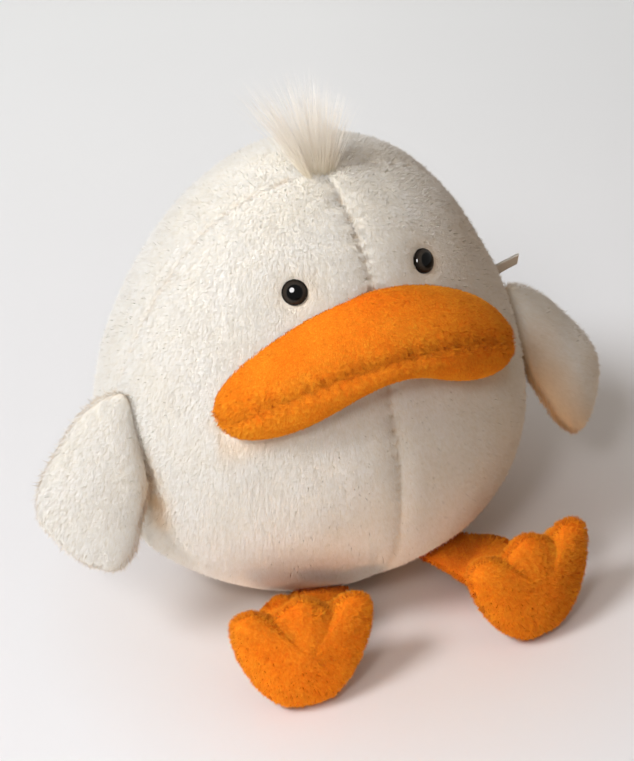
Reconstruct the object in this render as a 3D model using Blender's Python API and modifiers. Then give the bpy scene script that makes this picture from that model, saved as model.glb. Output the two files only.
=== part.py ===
# Plush duck: an egg-shaped stuffed body sewn from four gores and a base,
# with a pillow bill, wings, legs, webbed feet, moulded eyes and a hair tuft.
# Metres, +Z up. The duck faces -Y and its own right side is at -X.
# The origin is the middle of the flat base that it sits on.
import math

import bpy
import bmesh
from mathutils import Matrix, Vector

# Body
BODY_HALF_WIDTH = 0.115
BODY_DEPTH_share = 0.862           # front to back against side to side
BODY_LENGTH = 0.230                # along the centre line, base to crown
BODY_BEND = math.radians(13.0)     # how far the head end leans forward
BASE_HALF_WIDTH = 0.0485
WIDEST_share = 0.36                # where along the centre line the belly is widest
SEAT_POWER = 2.5
SHOULDER_POWER = 1.45
CAP_POWER = 20.0
CAP_share = 0.10
PLUSH = 0.0035                     # body cloth with its pile
SEAM_GAP = 0.0004                  # between two sewn edges
SEAM_TUCK = 0.0022                 # how deep a seam draws the cloth in
SEAM_SPREAD = 0.007
FILL_GAP = 0.0005                  # between a cover and its filling
BILL_FILL_GAP = 0.0019             # the same in the small pillows, whose edges are tight
WING_FILL_GAP = 0.0019
FOOT_FILL_GAP = 0.0038
TAIL_FILL_GAP = 0.0012
LEG_FILL_GAP = 0.0019
SEAT_GAP = 0.0004                  # between a piece and what it lies on
BASE_CLOTH = 0.0030
BASE_INSET = 0.0013
BASE_RISE = 0.0010                 # how far above the floor the gores start
CROWN_OPENING = 0.0060             # half width of the hole left for the tuft
GORE_COLUMNS = 8
GORE_ROWS = 14

# Bill
BILL_PLUSH = 0.0025
BILL_SPAN = math.radians(48.4)     # from the middle to either corner, round the body
BILL_CROWN_share = 0.769           # height of its middle along the body
BILL_DROOP = 0.0336
BILL_DROOP_END = 0.0029
BILL_HALF_HEIGHT = 0.0243
BILL_REACH = 0.0234                # how far it stands out from the body
BILL_SAG = 0.0089
BILL_HEIGHT_POWER = 2.90           # blunter ends with a higher power
BILL_REACH_POWER = 2.35
BILL_WAIST_share = 0.53            # how much its lower half narrows near the middle
BILL_WAIST_PLACE = -0.075
BILL_WAIST_SPREAD = 0.465
BILL_SEAM = math.radians(103.0)    # where its two panels meet, up from the lower edge
BILL_SEAM_TUCK = 0.0012
BILL_SEAM_STEP = math.radians(9.0)
BILL_MAP_RADIUS = 0.088            # body radius by which its length is laid out
BILL_STATIONS = 18
BILL_COLUMNS = 4

# Eyes: moulded domes on ribbed posts, locked by washers behind the cloth
EYE_RADIUS = 0.0061
EYE_DOME = 0.0033
EYE_RIM = 0.0010
EYE_SINK = 0.0018
EYE_POST_RADIUS = 0.0021
EYE_POST_LENGTH = 0.0130
EYE_RIB = 0.0003
EYE_RIBS = 4
EYE_SPREAD = {"left": math.radians(28.4), "right": math.radians(32.3)}
EYE_HEIGHT_share = 0.881
WASHER_RADIUS = 0.0080
WASHER_THICK = 0.0012
WASHER_BOSS = 0.0012
WASHER_DROP = 0.0010
POST_CLEARANCE = 0.0003

# Wings
LIMB_PLUSH = 0.0026
RIM_WALL = 0.0012                  # height of a panel's edge next to its seam
WING_WIDTH = 0.057
WING_LENGTH = 0.081
WING_HALF_THICK = 0.0115
WING_TOP_share = 0.572             # where the root starts and ends on the body
WING_TOP_TURN = math.radians(81.5)
WING_FOOT_share = 0.405
WING_FOOT_TURN = math.radians(65.7)
WING_SWEEP = math.radians(44.6)    # how far it lies back from square to the body
WING_STAND = 0.0030                # clear of the body along the straight root
# Outline of a wing: share of the span outwards, share of the drop downwards
WING_OUTLINE_shares = (
    (0.00, 0.00), (0.12, -0.07), (0.40, 0.00), (0.65, 0.15), (0.84, 0.28), (0.97, 0.43), (1.00, 0.58),
    (0.92, 0.70), (0.80, 0.83), (0.62, 0.94), (0.42, 1.00), (0.26, 0.93), (0.14, 0.80),
    (0.05, 0.63), (0.00, 0.46), (0.00, 0.30), (0.00, 0.15),
)
WING_MIDDLE_shares = (0.50, 0.47)

# Legs and feet
LEG_RADIUS = 0.0150
LEG_ROOT_HALF_THICK = 0.0040
LEG_ROOT_TURN = {"left": math.radians(28.0), "right": math.radians(23.0)}
LEG_ROOT_share = 0.105
LEG_STAND = 0.0008
FOOT_HALF_WIDTH = 0.0365
FOOT_LENGTH = 0.056
FOOT_HALF_THICK = 0.0125
FOOT_LEAN = {"left": math.radians(16.0), "right": math.radians(17.0)}
FOOT_SIDE_LEFT = 0.0635            # from the middle of the duck
FOOT_SIDE_RIGHT = 0.0600
FOOT_AHEAD_LEFT = 0.0199           # in front of the belly
FOOT_AHEAD_RIGHT = 0.0120
FOOT_TURN_OUT = {"left": math.radians(2.0), "right": math.radians(4.0)}
FOOT_FACE_OUT = {"left": math.radians(6.0), "right": math.radians(5.0)}
FOOT_CLEARANCE = 0.0004            # under the heel
# Right half of the sole: share of the half width, share of the length
FOOT_OUTLINE_shares = (
    (0.00, 0.00), (0.34, 0.03), (0.65, 0.20), (0.89, 0.48), (1.00, 0.75),
    (0.96, 0.91), (0.70, 0.95), (0.44, 0.88), (0.22, 0.955), (0.00, 1.00),
)
FOOT_MIDDLE_share = 0.50

# Tail
TAIL_HALF_WIDTH = 0.019
TAIL_LENGTH = 0.036
TAIL_HALF_THICK = 0.0075
TAIL_ROOT_share = 0.27
TAIL_RISE = math.radians(42.0)
TAIL_OUTLINE_shares = (
    (0.00, 0.00), (0.62, 0.02), (0.95, 0.22), (0.98, 0.46), (0.80, 0.70), (0.45, 0.90), (0.00, 1.00),
)

# Tuft and ribbon
TUFT_LENGTH = 0.049
TUFT_SPREAD = 0.031
TUFT_DEPTH = 0.014
TUFT_ROOT = 0.0041
TUFT_LOCKS = 11
TUFT_LEAN = math.radians(4.0)
TUFT_FALL = math.radians(-6.0)      # towards the right side
RIBBON_WIDTH = 0.011
RIBBON_LENGTH = 0.0205
RIBBON_THICK = 0.0005
RIBBON_LOOP = 0.0009
RIBBON_HEIGHT_share = 0.590
RIBBON_TILT = math.radians(-4.0)
RIBBON_TWIST = math.radians(34.0)  # about its own length, its front edge up

# Fineness of the surfaces, and shares of small forms
WELD = 0.00005
PLUG_STEPS = 20
EYE_STEPS = 20
EYE_RINGS = 5
BASE_SIDES = 32
LEG_SIDES = 16
BALL_RINGS = 4
# Section of a leg: share of its run, of its width, of its swell, and how far it faces along the run
LEG_SECTION_shares = (
    (0.00, 0.95, 0.00, 0.0), (0.28, 0.97, 0.28, 0.5), (0.55, 1.00, 0.70, 0.9), (0.80, 1.00, 0.95, 1.0),
    (1.00, 1.00, 1.00, 1.0),
)
TAIL_STAND = -0.0009
TAIL_MIDDLE_share = 0.45
CORNER_share = 0.08
TUFT_RING_shares = (
    (0.0, 0.0, 0.0), (0.10, 0.04, 0.0), (0.35, 0.28, 0.16), (0.68, 0.66, 0.30), (1.0, 1.0, 0.42),
)
TUFT_HOLLOW_share = 0.82
RIBBON_STAND = -0.0017
RIBBON_BEND = 4
DOME_ROWS = 4
SIDES = {"left": 1.0, "right": -1.0}
OVERRUN = 0.004
STEP_share = 0.002


def clear_scene():
    for thing in list(bpy.data.objects):
        bpy.data.objects.remove(thing)


def collection(name):
    group = bpy.data.collections.new(name)
    bpy.context.scene.collection.children.link(group)
    return group


def plain_material(name, colour, roughness, metallic=0.0):
    made = bpy.data.materials.new(name)
    made.use_nodes = True
    shader = made.node_tree.nodes["Principled BSDF"]
    shader.inputs["Base Color"].default_value = (*colour, 1.0)
    shader.inputs["Roughness"].default_value = roughness
    shader.inputs["Metallic"].default_value = metallic
    return made


# Body surface

def egg_radius(along):
    """Half width of the body at a share of its centre line."""
    if along <= WIDEST_share:
        seat = 1 - (BASE_HALF_WIDTH / BODY_HALF_WIDTH) ** 2
        fall = seat * ((WIDEST_share - along) / WIDEST_share) ** SEAT_POWER
    else:
        rise = (along - WIDEST_share) / (1 - WIDEST_share)
        fall = (1 - CAP_share) * rise ** SHOULDER_POWER + CAP_share * rise ** CAP_POWER
    return BODY_HALF_WIDTH * math.sqrt(max(0.0, 1 - fall))


def centre_line(along):
    """Back and up place of the centre line, and how far it leans forward there."""
    if along <= WIDEST_share:
        return 0.0, along * BODY_LENGTH, 0.0
    curve = BODY_BEND / ((1 - WIDEST_share) * BODY_LENGTH)
    lean = curve * (along - WIDEST_share) * BODY_LENGTH
    return -(1 - math.cos(lean)) / curve, WIDEST_share * BODY_LENGTH + math.sin(lean) / curve, lean


def body_point(along, turn):
    """Point on the body. turn is 0 at the front and grows towards the duck's left."""
    radius = egg_radius(along)
    back, up, lean = centre_line(along)
    front = radius * BODY_DEPTH_share * math.cos(turn)
    return Vector((radius * math.sin(turn), back - front * math.cos(lean), up - front * math.sin(lean)))


def body_frame(along, turn):
    """Point, outward normal, upward tangent and sideways tangent of the body."""
    low = max(along - STEP_share, 0.0)
    high = min(along + STEP_share, 1.0)
    up = body_point(high, turn) - body_point(low, turn)
    side = body_point(along, turn + STEP_share) - body_point(along, turn - STEP_share)
    up.normalize()
    side.normalize()
    return body_point(along, turn), side.cross(up).normalized(), up, side


def body_proud(along, turn, proud):
    point, normal, _, _ = body_frame(along, turn)
    return point + normal * proud


def share_at_radius(radius):
    """Share of the centre line near the crown where the half width is radius."""
    low, high = WIDEST_share, 1.0
    for _ in range(50):
        middle = (low + high) / 2
        if egg_radius(middle) > radius:
            low = middle
        else:
            high = middle
    return low


# Mesh helpers

def build(name, points, faces, origin, group, material, inside=None):
    """Object from world points. Its own origin goes to origin; open sheets face away from inside."""
    mesh = bpy.data.meshes.new(name)
    mesh.from_pydata([point - origin for point in points], [], faces)
    work = bmesh.new()
    work.from_mesh(mesh)
    if inside is None:
        bmesh.ops.recalc_face_normals(work, faces=work.faces)
    else:
        heart = inside - origin
        facing = 0.0
        for face in work.faces:
            facing += (face.calc_center_median() - heart).dot(face.normal) * face.calc_area()
        if facing < 0:
            bmesh.ops.reverse_faces(work, faces=work.faces)
    work.to_mesh(mesh)
    work.free()
    mesh.shade_smooth()
    if material is not None:
        mesh.materials.append(material)
    made = bpy.data.objects.new(name, mesh)
    made.location = origin
    group.objects.link(made)
    return made


def loft(rows, around=False, cap_first=False, cap_last=False):
    """Points and faces of a surface through rows of points. A row of one point closes to it."""
    points = []
    starts = []
    for row in rows:
        starts.append(len(points))
        points.extend(row)
    faces = []
    for low, high, first, second in zip(rows, rows[1:], starts, starts[1:]):
        count = max(len(low), len(high))
        for column in range(count if around else count - 1):
            after = (column + 1) % count
            a = first + (column if len(low) > 1 else 0)
            b = first + (after if len(low) > 1 else 0)
            c = second + (after if len(high) > 1 else 0)
            d = second + (column if len(high) > 1 else 0)
            corners = [a, b, c, d]
            faces.append([v for place, v in enumerate(corners) if v not in corners[:place]])
    if cap_first:
        faces.append([starts[0] + column for column in reversed(range(len(rows[0])))])
    if cap_last:
        faces.append([starts[-1] + column for column in range(len(rows[-1]))])
    return points, faces


def shell(name, rows, thick, origin, group, material, inside, around=False, shares=None):
    """Cloth panel: an open sheet through rows, thickened inwards, by a share for each row if given."""
    points, faces = loft(rows, around)
    made = build(name, points, faces, origin, group, material, inside)
    skin = made.modifiers.new("Cloth", "SOLIDIFY")
    skin.thickness = thick
    skin.offset = -1.0
    if shares is not None:
        thinned = made.vertex_groups.new(name="Thickness")
        place = 0
        for row, share in zip(rows, shares):
            thinned.add(list(range(place, place + len(row))), share, "REPLACE")
            place += len(row)
        skin.vertex_group = thinned.name
    return made


def solid(name, rows, origin, group, material):
    """Closed piece through rings of points, its ends capped."""
    points, faces = loft(rows, True, len(rows[0]) > 1, len(rows[-1]) > 1)
    return build(name, points, faces, origin, group, material)


def cut(made, cutter):
    taken = made.modifiers.new("Cut", "BOOLEAN")
    taken.operation = "DIFFERENCE"
    taken.solver = "EXACT"
    taken.object = cutter


def place_on(point, axis, side):
    """Frame at point whose Z runs along axis and whose X is near side."""
    up = axis.normalized()
    across = (side - up * side.dot(up)).normalized()
    frame = Matrix((across, up.cross(across), up)).transposed().to_4x4()
    frame.translation = point
    return frame


def turned(name, profile, frame, group, material, steps):
    """Turned piece from (radius, height) pairs that run down its outer side."""
    mesh = bpy.data.meshes.new(name)
    mesh.from_pydata([(r, 0.0, z) for r, z in profile], [(i, i + 1) for i in range(len(profile) - 1)], [])
    made = bpy.data.objects.new(name, mesh)
    made.matrix_world = frame
    group.objects.link(made)
    turn = made.modifiers.new("Turn", "SCREW")
    turn.steps = steps
    turn.render_steps = steps
    turn.use_merge_vertices = True
    turn.merge_threshold = WELD
    turn.use_smooth_shade = True
    if material is not None:
        mesh.materials.append(material)
    return made


def plug(name, radius, low, high, frame, group):
    """Round cutter between two heights of a frame."""
    profile = [(0.0, high), (radius, high), (radius, low), (0.0, low)]
    made = turned(name, profile, frame, group, None, PLUG_STEPS)
    made.hide_render = True
    made.display_type = "WIRE"
    return made


# Body pieces

def seam_dip(along, turn):
    """How far the nearest of the four long seams draws the cloth in."""
    quarter = math.pi / 2
    off = abs((turn + quarter / 2) % quarter - quarter / 2)
    away = off * egg_radius(along)
    return SEAM_TUCK * math.exp(-(away / SEAM_SPREAD) ** 2)


def body_rows():
    """Shares along the centre line, close together at both ends, from rim to crown."""
    low = BASE_RISE / BODY_LENGTH
    high = share_at_radius(CROWN_OPENING)
    span = [(1 - math.cos(math.pi * row / GORE_ROWS)) / 2 for row in range(GORE_ROWS + 1)]
    return [low + (high - low) * share for share in span]


def gore(name, start, group, material):
    """One quarter of the body cloth, from the turn start to a quarter turn on."""
    rows = []
    for along in body_rows():
        slip = SEAM_GAP / 2 / egg_radius(along)
        row = []
        for column in range(GORE_COLUMNS + 1):
            turn = start + slip + (math.pi / 2 - 2 * slip) * column / GORE_COLUMNS
            row.append(body_proud(along, turn, -seam_dip(along, turn)))
        rows.append(row)
    heart = Vector((0.0, 0.0, BODY_LENGTH / 2))
    return shell(name, rows, PLUSH, Vector(), group, material, heart)


def body_fill(group, material):
    rows = []
    for along in body_rows()[::2]:
        row = []
        for column in range(2 * GORE_COLUMNS):
            turn = 2 * math.pi * column / (2 * GORE_COLUMNS)
            row.append(body_proud(along, turn, -seam_dip(along, turn) - PLUSH - FILL_GAP))
        rows.append(row)
    return solid("body_fill", rows, Vector(), group, material)


def base_panel(group, material):
    wide = egg_radius(BASE_RISE / BODY_LENGTH) - BASE_INSET
    rows = []
    for radius, height in ((wide - BASE_CLOTH / 4, 0.0), (wide, BASE_CLOTH / 4), (wide, BASE_CLOTH)):
        row = []
        for column in range(BASE_SIDES):
            turn = 2 * math.pi * column / BASE_SIDES
            row.append(Vector((radius * math.sin(turn), -radius * BODY_DEPTH_share * math.cos(turn), height)))
        rows.append(row)
    return solid("base_panel", rows, Vector(), group, material)


# Bill

def bill_middle(turn):
    """Share along the body of the bill's middle line, which droops to both corners."""
    part = turn / BILL_SPAN
    return BILL_CROWN_share - (BILL_DROOP * part ** 2 + BILL_DROOP_END * part ** 4) / BODY_LENGTH


def bill_swell(part):
    """Shares of the full height and of the full reach at a place between the corners."""
    high = max(0.0, 1 - abs(part) ** BILL_HEIGHT_POWER) ** (1 / BILL_HEIGHT_POWER)
    far = max(0.0, 1 - abs(part) ** BILL_REACH_POWER) ** (1 / BILL_REACH_POWER)
    return high, far


def bill_waist(part):
    """Share of the height that its lower half keeps."""
    return 1 - BILL_WAIST_share * math.exp(-((part - BILL_WAIST_PLACE) / BILL_WAIST_SPREAD) ** 2)


def bill_point(part, angle, inset, proud=SEAT_GAP, arch=1.0):
    """Point of the bill: part runs from corner to corner, angle from its lower to its upper edge.

    arch is 1 on its outer side and 0 along the body."""
    turn = part * BILL_SPAN
    step = STEP_share
    climb = bill_middle(turn + step) - bill_middle(turn - step)
    across = Vector((2 * step * BILL_MAP_RADIUS, climb * BODY_LENGTH))
    across.normalize()
    high, far = bill_swell(part)
    half = BILL_HALF_HEIGHT * high * (bill_waist(part) if angle < math.pi / 2 else 1.0) - inset
    reach = BILL_REACH * far - inset
    rise = -half * math.cos(angle) - BILL_SAG * high * math.sin(angle) * arch
    along = bill_middle(turn) + across.x * rise / BODY_LENGTH
    around = turn - across.y * rise / BILL_MAP_RADIUS
    return body_proud(along, around, proud + reach * math.sin(angle) * arch)


def bill_parts():
    """Stations from corner to corner, close together at both ends."""
    return [math.sin(math.pi / 2 * (2 * station / BILL_STATIONS - 1)) for station in range(BILL_STATIONS + 1)]


def bill_panel(name, edge, group, material):
    """Strip of the bill's cover from its lower or upper edge to the seam between both panels."""
    parts = bill_parts()
    sign = 1.0 if edge > BILL_SEAM else -1.0
    free = BILL_SEAM + sign * BILL_SEAM_STEP
    rows = []
    shares = []
    for part in parts[1:-1]:
        far = bill_swell(part)[1]
        row = [bill_point(part, edge, 0.0), bill_point(part, edge, 0.0, SEAT_GAP + RIM_WALL * far)]
        for column in range(1, BILL_COLUMNS + 1):
            row.append(bill_point(part, edge + (free - edge) * column / BILL_COLUMNS, 0.0))
        slip = SEAM_GAP / (BILL_REACH * far)
        row.append(bill_point(part, BILL_SEAM + sign * slip, BILL_SEAM_TUCK * far))
        rows.append(row)
        shares.append(far)
    part_gap = Vector((0.0, 0.0, sign * SEAM_GAP))
    ends = [[bill_point(part, BILL_SEAM, 0.0) + part_gap] for part in (parts[0], parts[-1])]
    rows = ends[:1] + rows + ends[1:]
    shares = [CORNER_share] + shares + [CORNER_share]
    heart = body_frame(BILL_CROWN_share, 0.0)[0]
    return shell(name, rows, BILL_PLUSH, Vector(), group, material, heart, shares=shares)


def bill_fill(group, material):
    inset = BILL_PLUSH + BILL_FILL_GAP
    turns = [math.pi * column / (2 * BILL_COLUMNS) for column in range(2 * BILL_COLUMNS + 1)]
    rows = []
    for part in bill_parts():
        if BILL_REACH * bill_swell(part)[1] < 2 * inset:
            continue
        dome = [bill_point(part, angle, inset, SEAT_GAP + FILL_GAP) for angle in turns]
        flat = [bill_point(part, angle, inset, SEAT_GAP + FILL_GAP, 0.0) for angle in reversed(turns)]
        rows.append(dome + flat[1:-1])
    return solid("bill_fill", rows, Vector(), group, material)


# Eyes

def eye_frame(side):
    point, normal, up, _ = body_frame(EYE_HEIGHT_share, SIDES[side] * EYE_SPREAD[side])
    return place_on(point, normal, up)


def eye(side, group, material):
    """Dome on a flange and a ribbed post."""
    frame = eye_frame(side)
    floor = -EYE_SINK + SEAT_GAP
    profile = [(0.0, floor + EYE_RIM + EYE_DOME)]
    for ring in range(1, EYE_RINGS + 1):
        angle = math.pi / 2 * ring / EYE_RINGS
        profile.append((EYE_RADIUS * math.sin(angle), floor + EYE_RIM + EYE_DOME * math.cos(angle)))
    profile.append((EYE_RADIUS, floor))
    profile.append((EYE_POST_RADIUS, floor))
    pitch = EYE_POST_LENGTH / (EYE_RIBS + 1)
    for rib in range(EYE_RIBS):
        top = floor - pitch * (rib + 1)
        profile.append((EYE_POST_RADIUS, top + pitch / 4))
        profile.append((EYE_POST_RADIUS - EYE_RIB, top))
    profile.append((EYE_POST_RADIUS - EYE_RIB, floor - EYE_POST_LENGTH))
    profile.append((0.0, floor - EYE_POST_LENGTH))
    return turned("eye_" + side, profile, frame, group, material, EYE_STEPS)


def washer(side, group, material):
    """Domed lock ring pushed on the post behind the cloth."""
    top = -PLUSH - WASHER_DROP
    hole = EYE_POST_RADIUS + POST_CLEARANCE
    profile = [
        (hole, top), (WASHER_RADIUS, top - WASHER_THICK / 2), (WASHER_RADIUS, top - WASHER_THICK),
        (2 * hole, top - WASHER_THICK), (2 * hole, top - WASHER_THICK - WASHER_BOSS),
        (hole, top - WASHER_THICK - WASHER_BOSS), (hole, top),
    ]
    return turned("eye_washer_" + side, profile, eye_frame(side), group, material, EYE_STEPS)


def eye_cutters(side, group):
    frame = eye_frame(side)
    seat = plug("eye_seat_cut_" + side, EYE_RADIUS + SEAT_GAP, -EYE_SINK, OVERRUN, frame, group)
    bore = EYE_POST_RADIUS + POST_CLEARANCE
    hole = plug("eye_hole_cut_" + side, bore, -PLUSH - OVERRUN, OVERRUN, frame, group)
    deep = -EYE_SINK - EYE_POST_LENGTH - FILL_GAP
    pocket = plug("eye_pocket_cut_" + side, WASHER_RADIUS + FILL_GAP, deep, OVERRUN, frame, group)
    return seat, hole, pocket


# Pillows: two domed panels on one outline, and their filling

def pillow_ring(outline, middle, angle, half, place, inset):
    """Ring of a pillow's surface: angle is 0 at the middle of its front, a quarter turn at its seam."""
    ring = []
    for point in outline:
        away = point - middle
        spot = middle + away * (math.sin(angle) * (away.length - inset) / away.length)
        ring.append(place(spot.x, spot.y, (half - inset) * math.cos(angle)))
    return ring


def panel_rows(outline, middle, half, place, sign):
    """Rings of one cover panel, from its middle out to an upright edge next to the seam."""
    rows = [[place(middle.x, middle.y, sign * half)]]
    for step in range(1, DOME_ROWS):
        rows.append(pillow_ring(outline, middle, math.pi / 2 * step / DOME_ROWS, sign * half, place, 0.0))
    for height in (RIM_WALL, SEAM_GAP / 2):
        rows.append([place(point.x, point.y, sign * height) for point in outline])
    return rows


def pillow(names, outline, middle, half, gap, place, origin, group, cloth, filling):
    """Front panel, back panel and filling of one sewn pillow, the filling inset by gap."""
    heart = place(middle.x, middle.y, 0.0)
    for name, sign in zip(names, (1.0, -1.0)):
        rows = panel_rows(outline, middle, half, place, sign)
        shell(name, rows, LIMB_PLUSH, origin, group, cloth, heart, True)
    inset = LIMB_PLUSH + gap
    rows = [[place(middle.x, middle.y, half - inset)]]
    for step in range(1, 2 * DOME_ROWS):
        rows.append(pillow_ring(outline, middle, math.pi / 2 * step / DOME_ROWS, half, place, inset))
    rows.append([place(middle.x, middle.y, inset - half)])
    solid(names[2], rows, origin, group, filling)


# Wings

def wing_root(side):
    """Both ends of the wing's root, just clear of the body."""
    sign = SIDES[side]
    top = body_proud(WING_TOP_share, sign * WING_TOP_TURN, WING_STAND)
    return top, body_proud(WING_FOOT_share, sign * WING_FOOT_TURN, WING_STAND)


def wing_place(side):
    """Function from outline place to world point: out, down the root and over the wing's plane."""
    sign = SIDES[side]
    top, foot = wing_root(side)
    down = (foot - top).normalized()
    halfway = (WING_TOP_share + WING_FOOT_share) / 2
    normal = body_frame(halfway, sign * (WING_TOP_TURN + WING_FOOT_TURN) / 2)[1]
    normal = (normal - down * normal.dot(down)).normalized()
    back = normal.cross(down) * sign
    out = normal * math.cos(WING_SWEEP) + back * math.sin(WING_SWEEP)
    face = out.cross(down) * -sign
    return lambda x, y, z: top + out * x + down * y + face * z


def wing(side, group, cloth, filling):
    outline = [Vector((x * WING_WIDTH, y * WING_LENGTH)) for x, y in WING_OUTLINE_shares]
    middle = Vector((WING_MIDDLE_shares[0] * WING_WIDTH, WING_MIDDLE_shares[1] * WING_LENGTH))
    names = ["wing_%s_%s" % (side, part) for part in ("outer_panel", "inner_panel", "fill")]
    root = wing_root(side)[0]
    half, gap = WING_HALF_THICK, WING_FILL_GAP
    pillow(names, outline, middle, half, gap, wing_place(side), root, group, cloth, filling)


# Legs and feet

def foot_frame(side):
    """Across, toe and sole directions of a foot."""
    sign = SIDES[side]
    toes = Vector((0.0, math.sin(FOOT_LEAN[side]), math.cos(FOOT_LEAN[side])))
    across = Vector((1.0, 0.0, 0.0))
    sole = across.cross(toes)
    turn = Matrix.Rotation(sign * FOOT_FACE_OUT[side], 3, "Z")
    turn = turn @ Matrix.Rotation(sign * FOOT_TURN_OUT[side], 3, sole)
    return turn @ across, turn @ toes, turn @ sole


def foot_place(side):
    """Function from outline place to world point: across, towards the toes, and over the sole."""
    across, toes, sole = foot_frame(side)
    heel = FOOT_MIDDLE_share * FOOT_LENGTH
    aside = FOOT_SIDE_LEFT if side == "left" else -FOOT_SIDE_RIGHT
    ahead = FOOT_AHEAD_LEFT if side == "left" else FOOT_AHEAD_RIGHT
    middle = Vector((aside, -BODY_HALF_WIDTH * BODY_DEPTH_share - ahead, heel))
    place = lambda x, y, z: middle + across * x + toes * (y - heel) + sole * z
    sides = [panel_rows(foot_outline(), foot_middle(), FOOT_HALF_THICK, place, sign) for sign in (1.0, -1.0)]
    middle.z += FOOT_CLEARANCE - min(point.z for rows in sides for row in rows for point in row)
    return place


def foot_middle():
    return Vector((0.0, FOOT_MIDDLE_share * FOOT_LENGTH))


def foot_outline():
    half = [Vector((x * FOOT_HALF_WIDTH, y * FOOT_LENGTH)) for x, y in FOOT_OUTLINE_shares]
    other = [Vector((-point.x, point.y)) for point in half[1:-1]]
    return half + other[::-1]


def ankle(side):
    """Middle of the ball end of the leg, which the back of the foot lies against."""
    return foot_place(side)(0.0, FOOT_MIDDLE_share * FOOT_LENGTH, -FOOT_HALF_THICK - SEAT_GAP - LEG_RADIUS)


def foot(side, group, cloth, filling):
    names = ["foot_%s_%s" % (side, part) for part in ("sole_panel", "top_panel", "fill")]
    place = foot_place(side)
    centre = ankle(side)
    half, gap = FOOT_HALF_THICK, FOOT_FILL_GAP
    pillow(names, foot_outline(), foot_middle(), half, gap, place, centre, group, cloth, filling)


def leg_root(side):
    """Middle of the leg's root on the body, and the body's normal and sideways tangent there."""
    point, normal, _, across = body_frame(LEG_ROOT_share, SIDES[side] * LEG_ROOT_TURN[side])
    return point + normal * LEG_STAND, normal, across


def leg_rows(side, inset, sections):
    """Rings of a leg: flat where it is sewn to the body, round at the ball end."""
    root, normal, across = leg_root(side)
    end = ankle(side)
    run = end - root
    axis = run.normalized()
    over = axis.cross((across - axis * across.dot(axis)).normalized())
    rows = []
    for share, wide, thick, turned_share in sections:
        facing = normal.lerp(axis, turned_share).normalized()
        level = (across - facing * across.dot(facing)).normalized()
        half_thick = LEG_ROOT_HALF_THICK + thick * (LEG_RADIUS - LEG_ROOT_HALF_THICK) - inset
        centre = root + run * share
        rows.append(leg_ring(centre, level * (wide * LEG_RADIUS - inset), facing.cross(level) * half_thick))
    radius = LEG_RADIUS - inset
    level = over.cross(axis)
    for ring in range(1, BALL_RINGS):
        angle = math.pi / 2 * ring / BALL_RINGS
        spread = radius * math.cos(angle)
        rows.append(leg_ring(end + axis * radius * math.sin(angle), level * spread, over * spread))
    rows.append([end + axis * radius])
    return rows


def leg_ring(centre, wide, thick):
    ring = []
    for column in range(LEG_SIDES):
        angle = 2 * math.pi * column / LEG_SIDES
        ring.append(centre + wide * math.cos(angle) + thick * math.sin(angle))
    return ring


def leg(side, group, cloth, filling):
    root = leg_root(side)[0]
    heart = (root + ankle(side)) / 2
    rows = leg_rows(side, 0.0, LEG_SECTION_shares)
    shell("leg_%s_cover" % side, rows, LIMB_PLUSH, root, group, cloth, heart, True)
    rows = leg_rows(side, LIMB_PLUSH + LEG_FILL_GAP, LEG_SECTION_shares[2:])
    solid("leg_%s_fill" % side, rows, root, group, filling)


# Tail, tuft and ribbon

def tail(group, cloth, filling):
    point, normal, up, side = body_frame(TAIL_ROOT_share, math.pi)
    out = normal * math.cos(TAIL_RISE) + up * math.sin(TAIL_RISE)
    over = up * math.cos(TAIL_RISE) - normal * math.sin(TAIL_RISE)
    start = point + normal * TAIL_STAND
    half = [Vector((x * TAIL_HALF_WIDTH, y * TAIL_LENGTH)) for x, y in TAIL_OUTLINE_shares]
    outline = half + [Vector((-spot.x, spot.y)) for spot in half[1:-1]][::-1]
    place = lambda x, y, z: start + side * x + out * y + over * z
    middle = Vector((0.0, TAIL_MIDDLE_share * TAIL_LENGTH))
    names = ["tail_top_panel", "tail_under_panel", "tail_fill"]
    pillow(names, outline, middle, TAIL_HALF_THICK, TAIL_FILL_GAP, place, start, group, cloth, filling)


def tuft(group, material):
    """Fan of tapering hair locks gathered at the crown."""
    back, up, lean = centre_line(1.0)
    root = Vector((0.0, back, up))
    axis = Vector((math.sin(TUFT_FALL), math.sin(TUFT_LEAN), math.cos(TUFT_LEAN))).normalized()
    side = Vector((math.cos(TUFT_FALL), 0.0, -math.sin(TUFT_FALL)))
    depth = axis.cross(side)
    sink = axis * -PLUSH
    rows = []
    for share, spread, groove in TUFT_RING_shares:
        row = []
        for column in range(2 * TUFT_LOCKS):
            angle = math.pi * column / TUFT_LOCKS
            ridge = 1.0 if column % 2 else 1.0 - groove
            wide = TUFT_ROOT + (TUFT_SPREAD - TUFT_ROOT) * spread
            deep = TUFT_ROOT + (TUFT_DEPTH - TUFT_ROOT) * spread
            high = TUFT_LENGTH * share * (1.0 if column % 2 else 1.0 - groove / 2)
            row.append(root + sink + side * wide * ridge * math.cos(angle)
                       + depth * deep * ridge * math.sin(angle) + axis * high)
        rows.append(row)
    rows.append([root + sink + axis * TUFT_LENGTH * TUFT_HOLLOW_share])
    return solid("tuft", rows, root, group, material)


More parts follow.
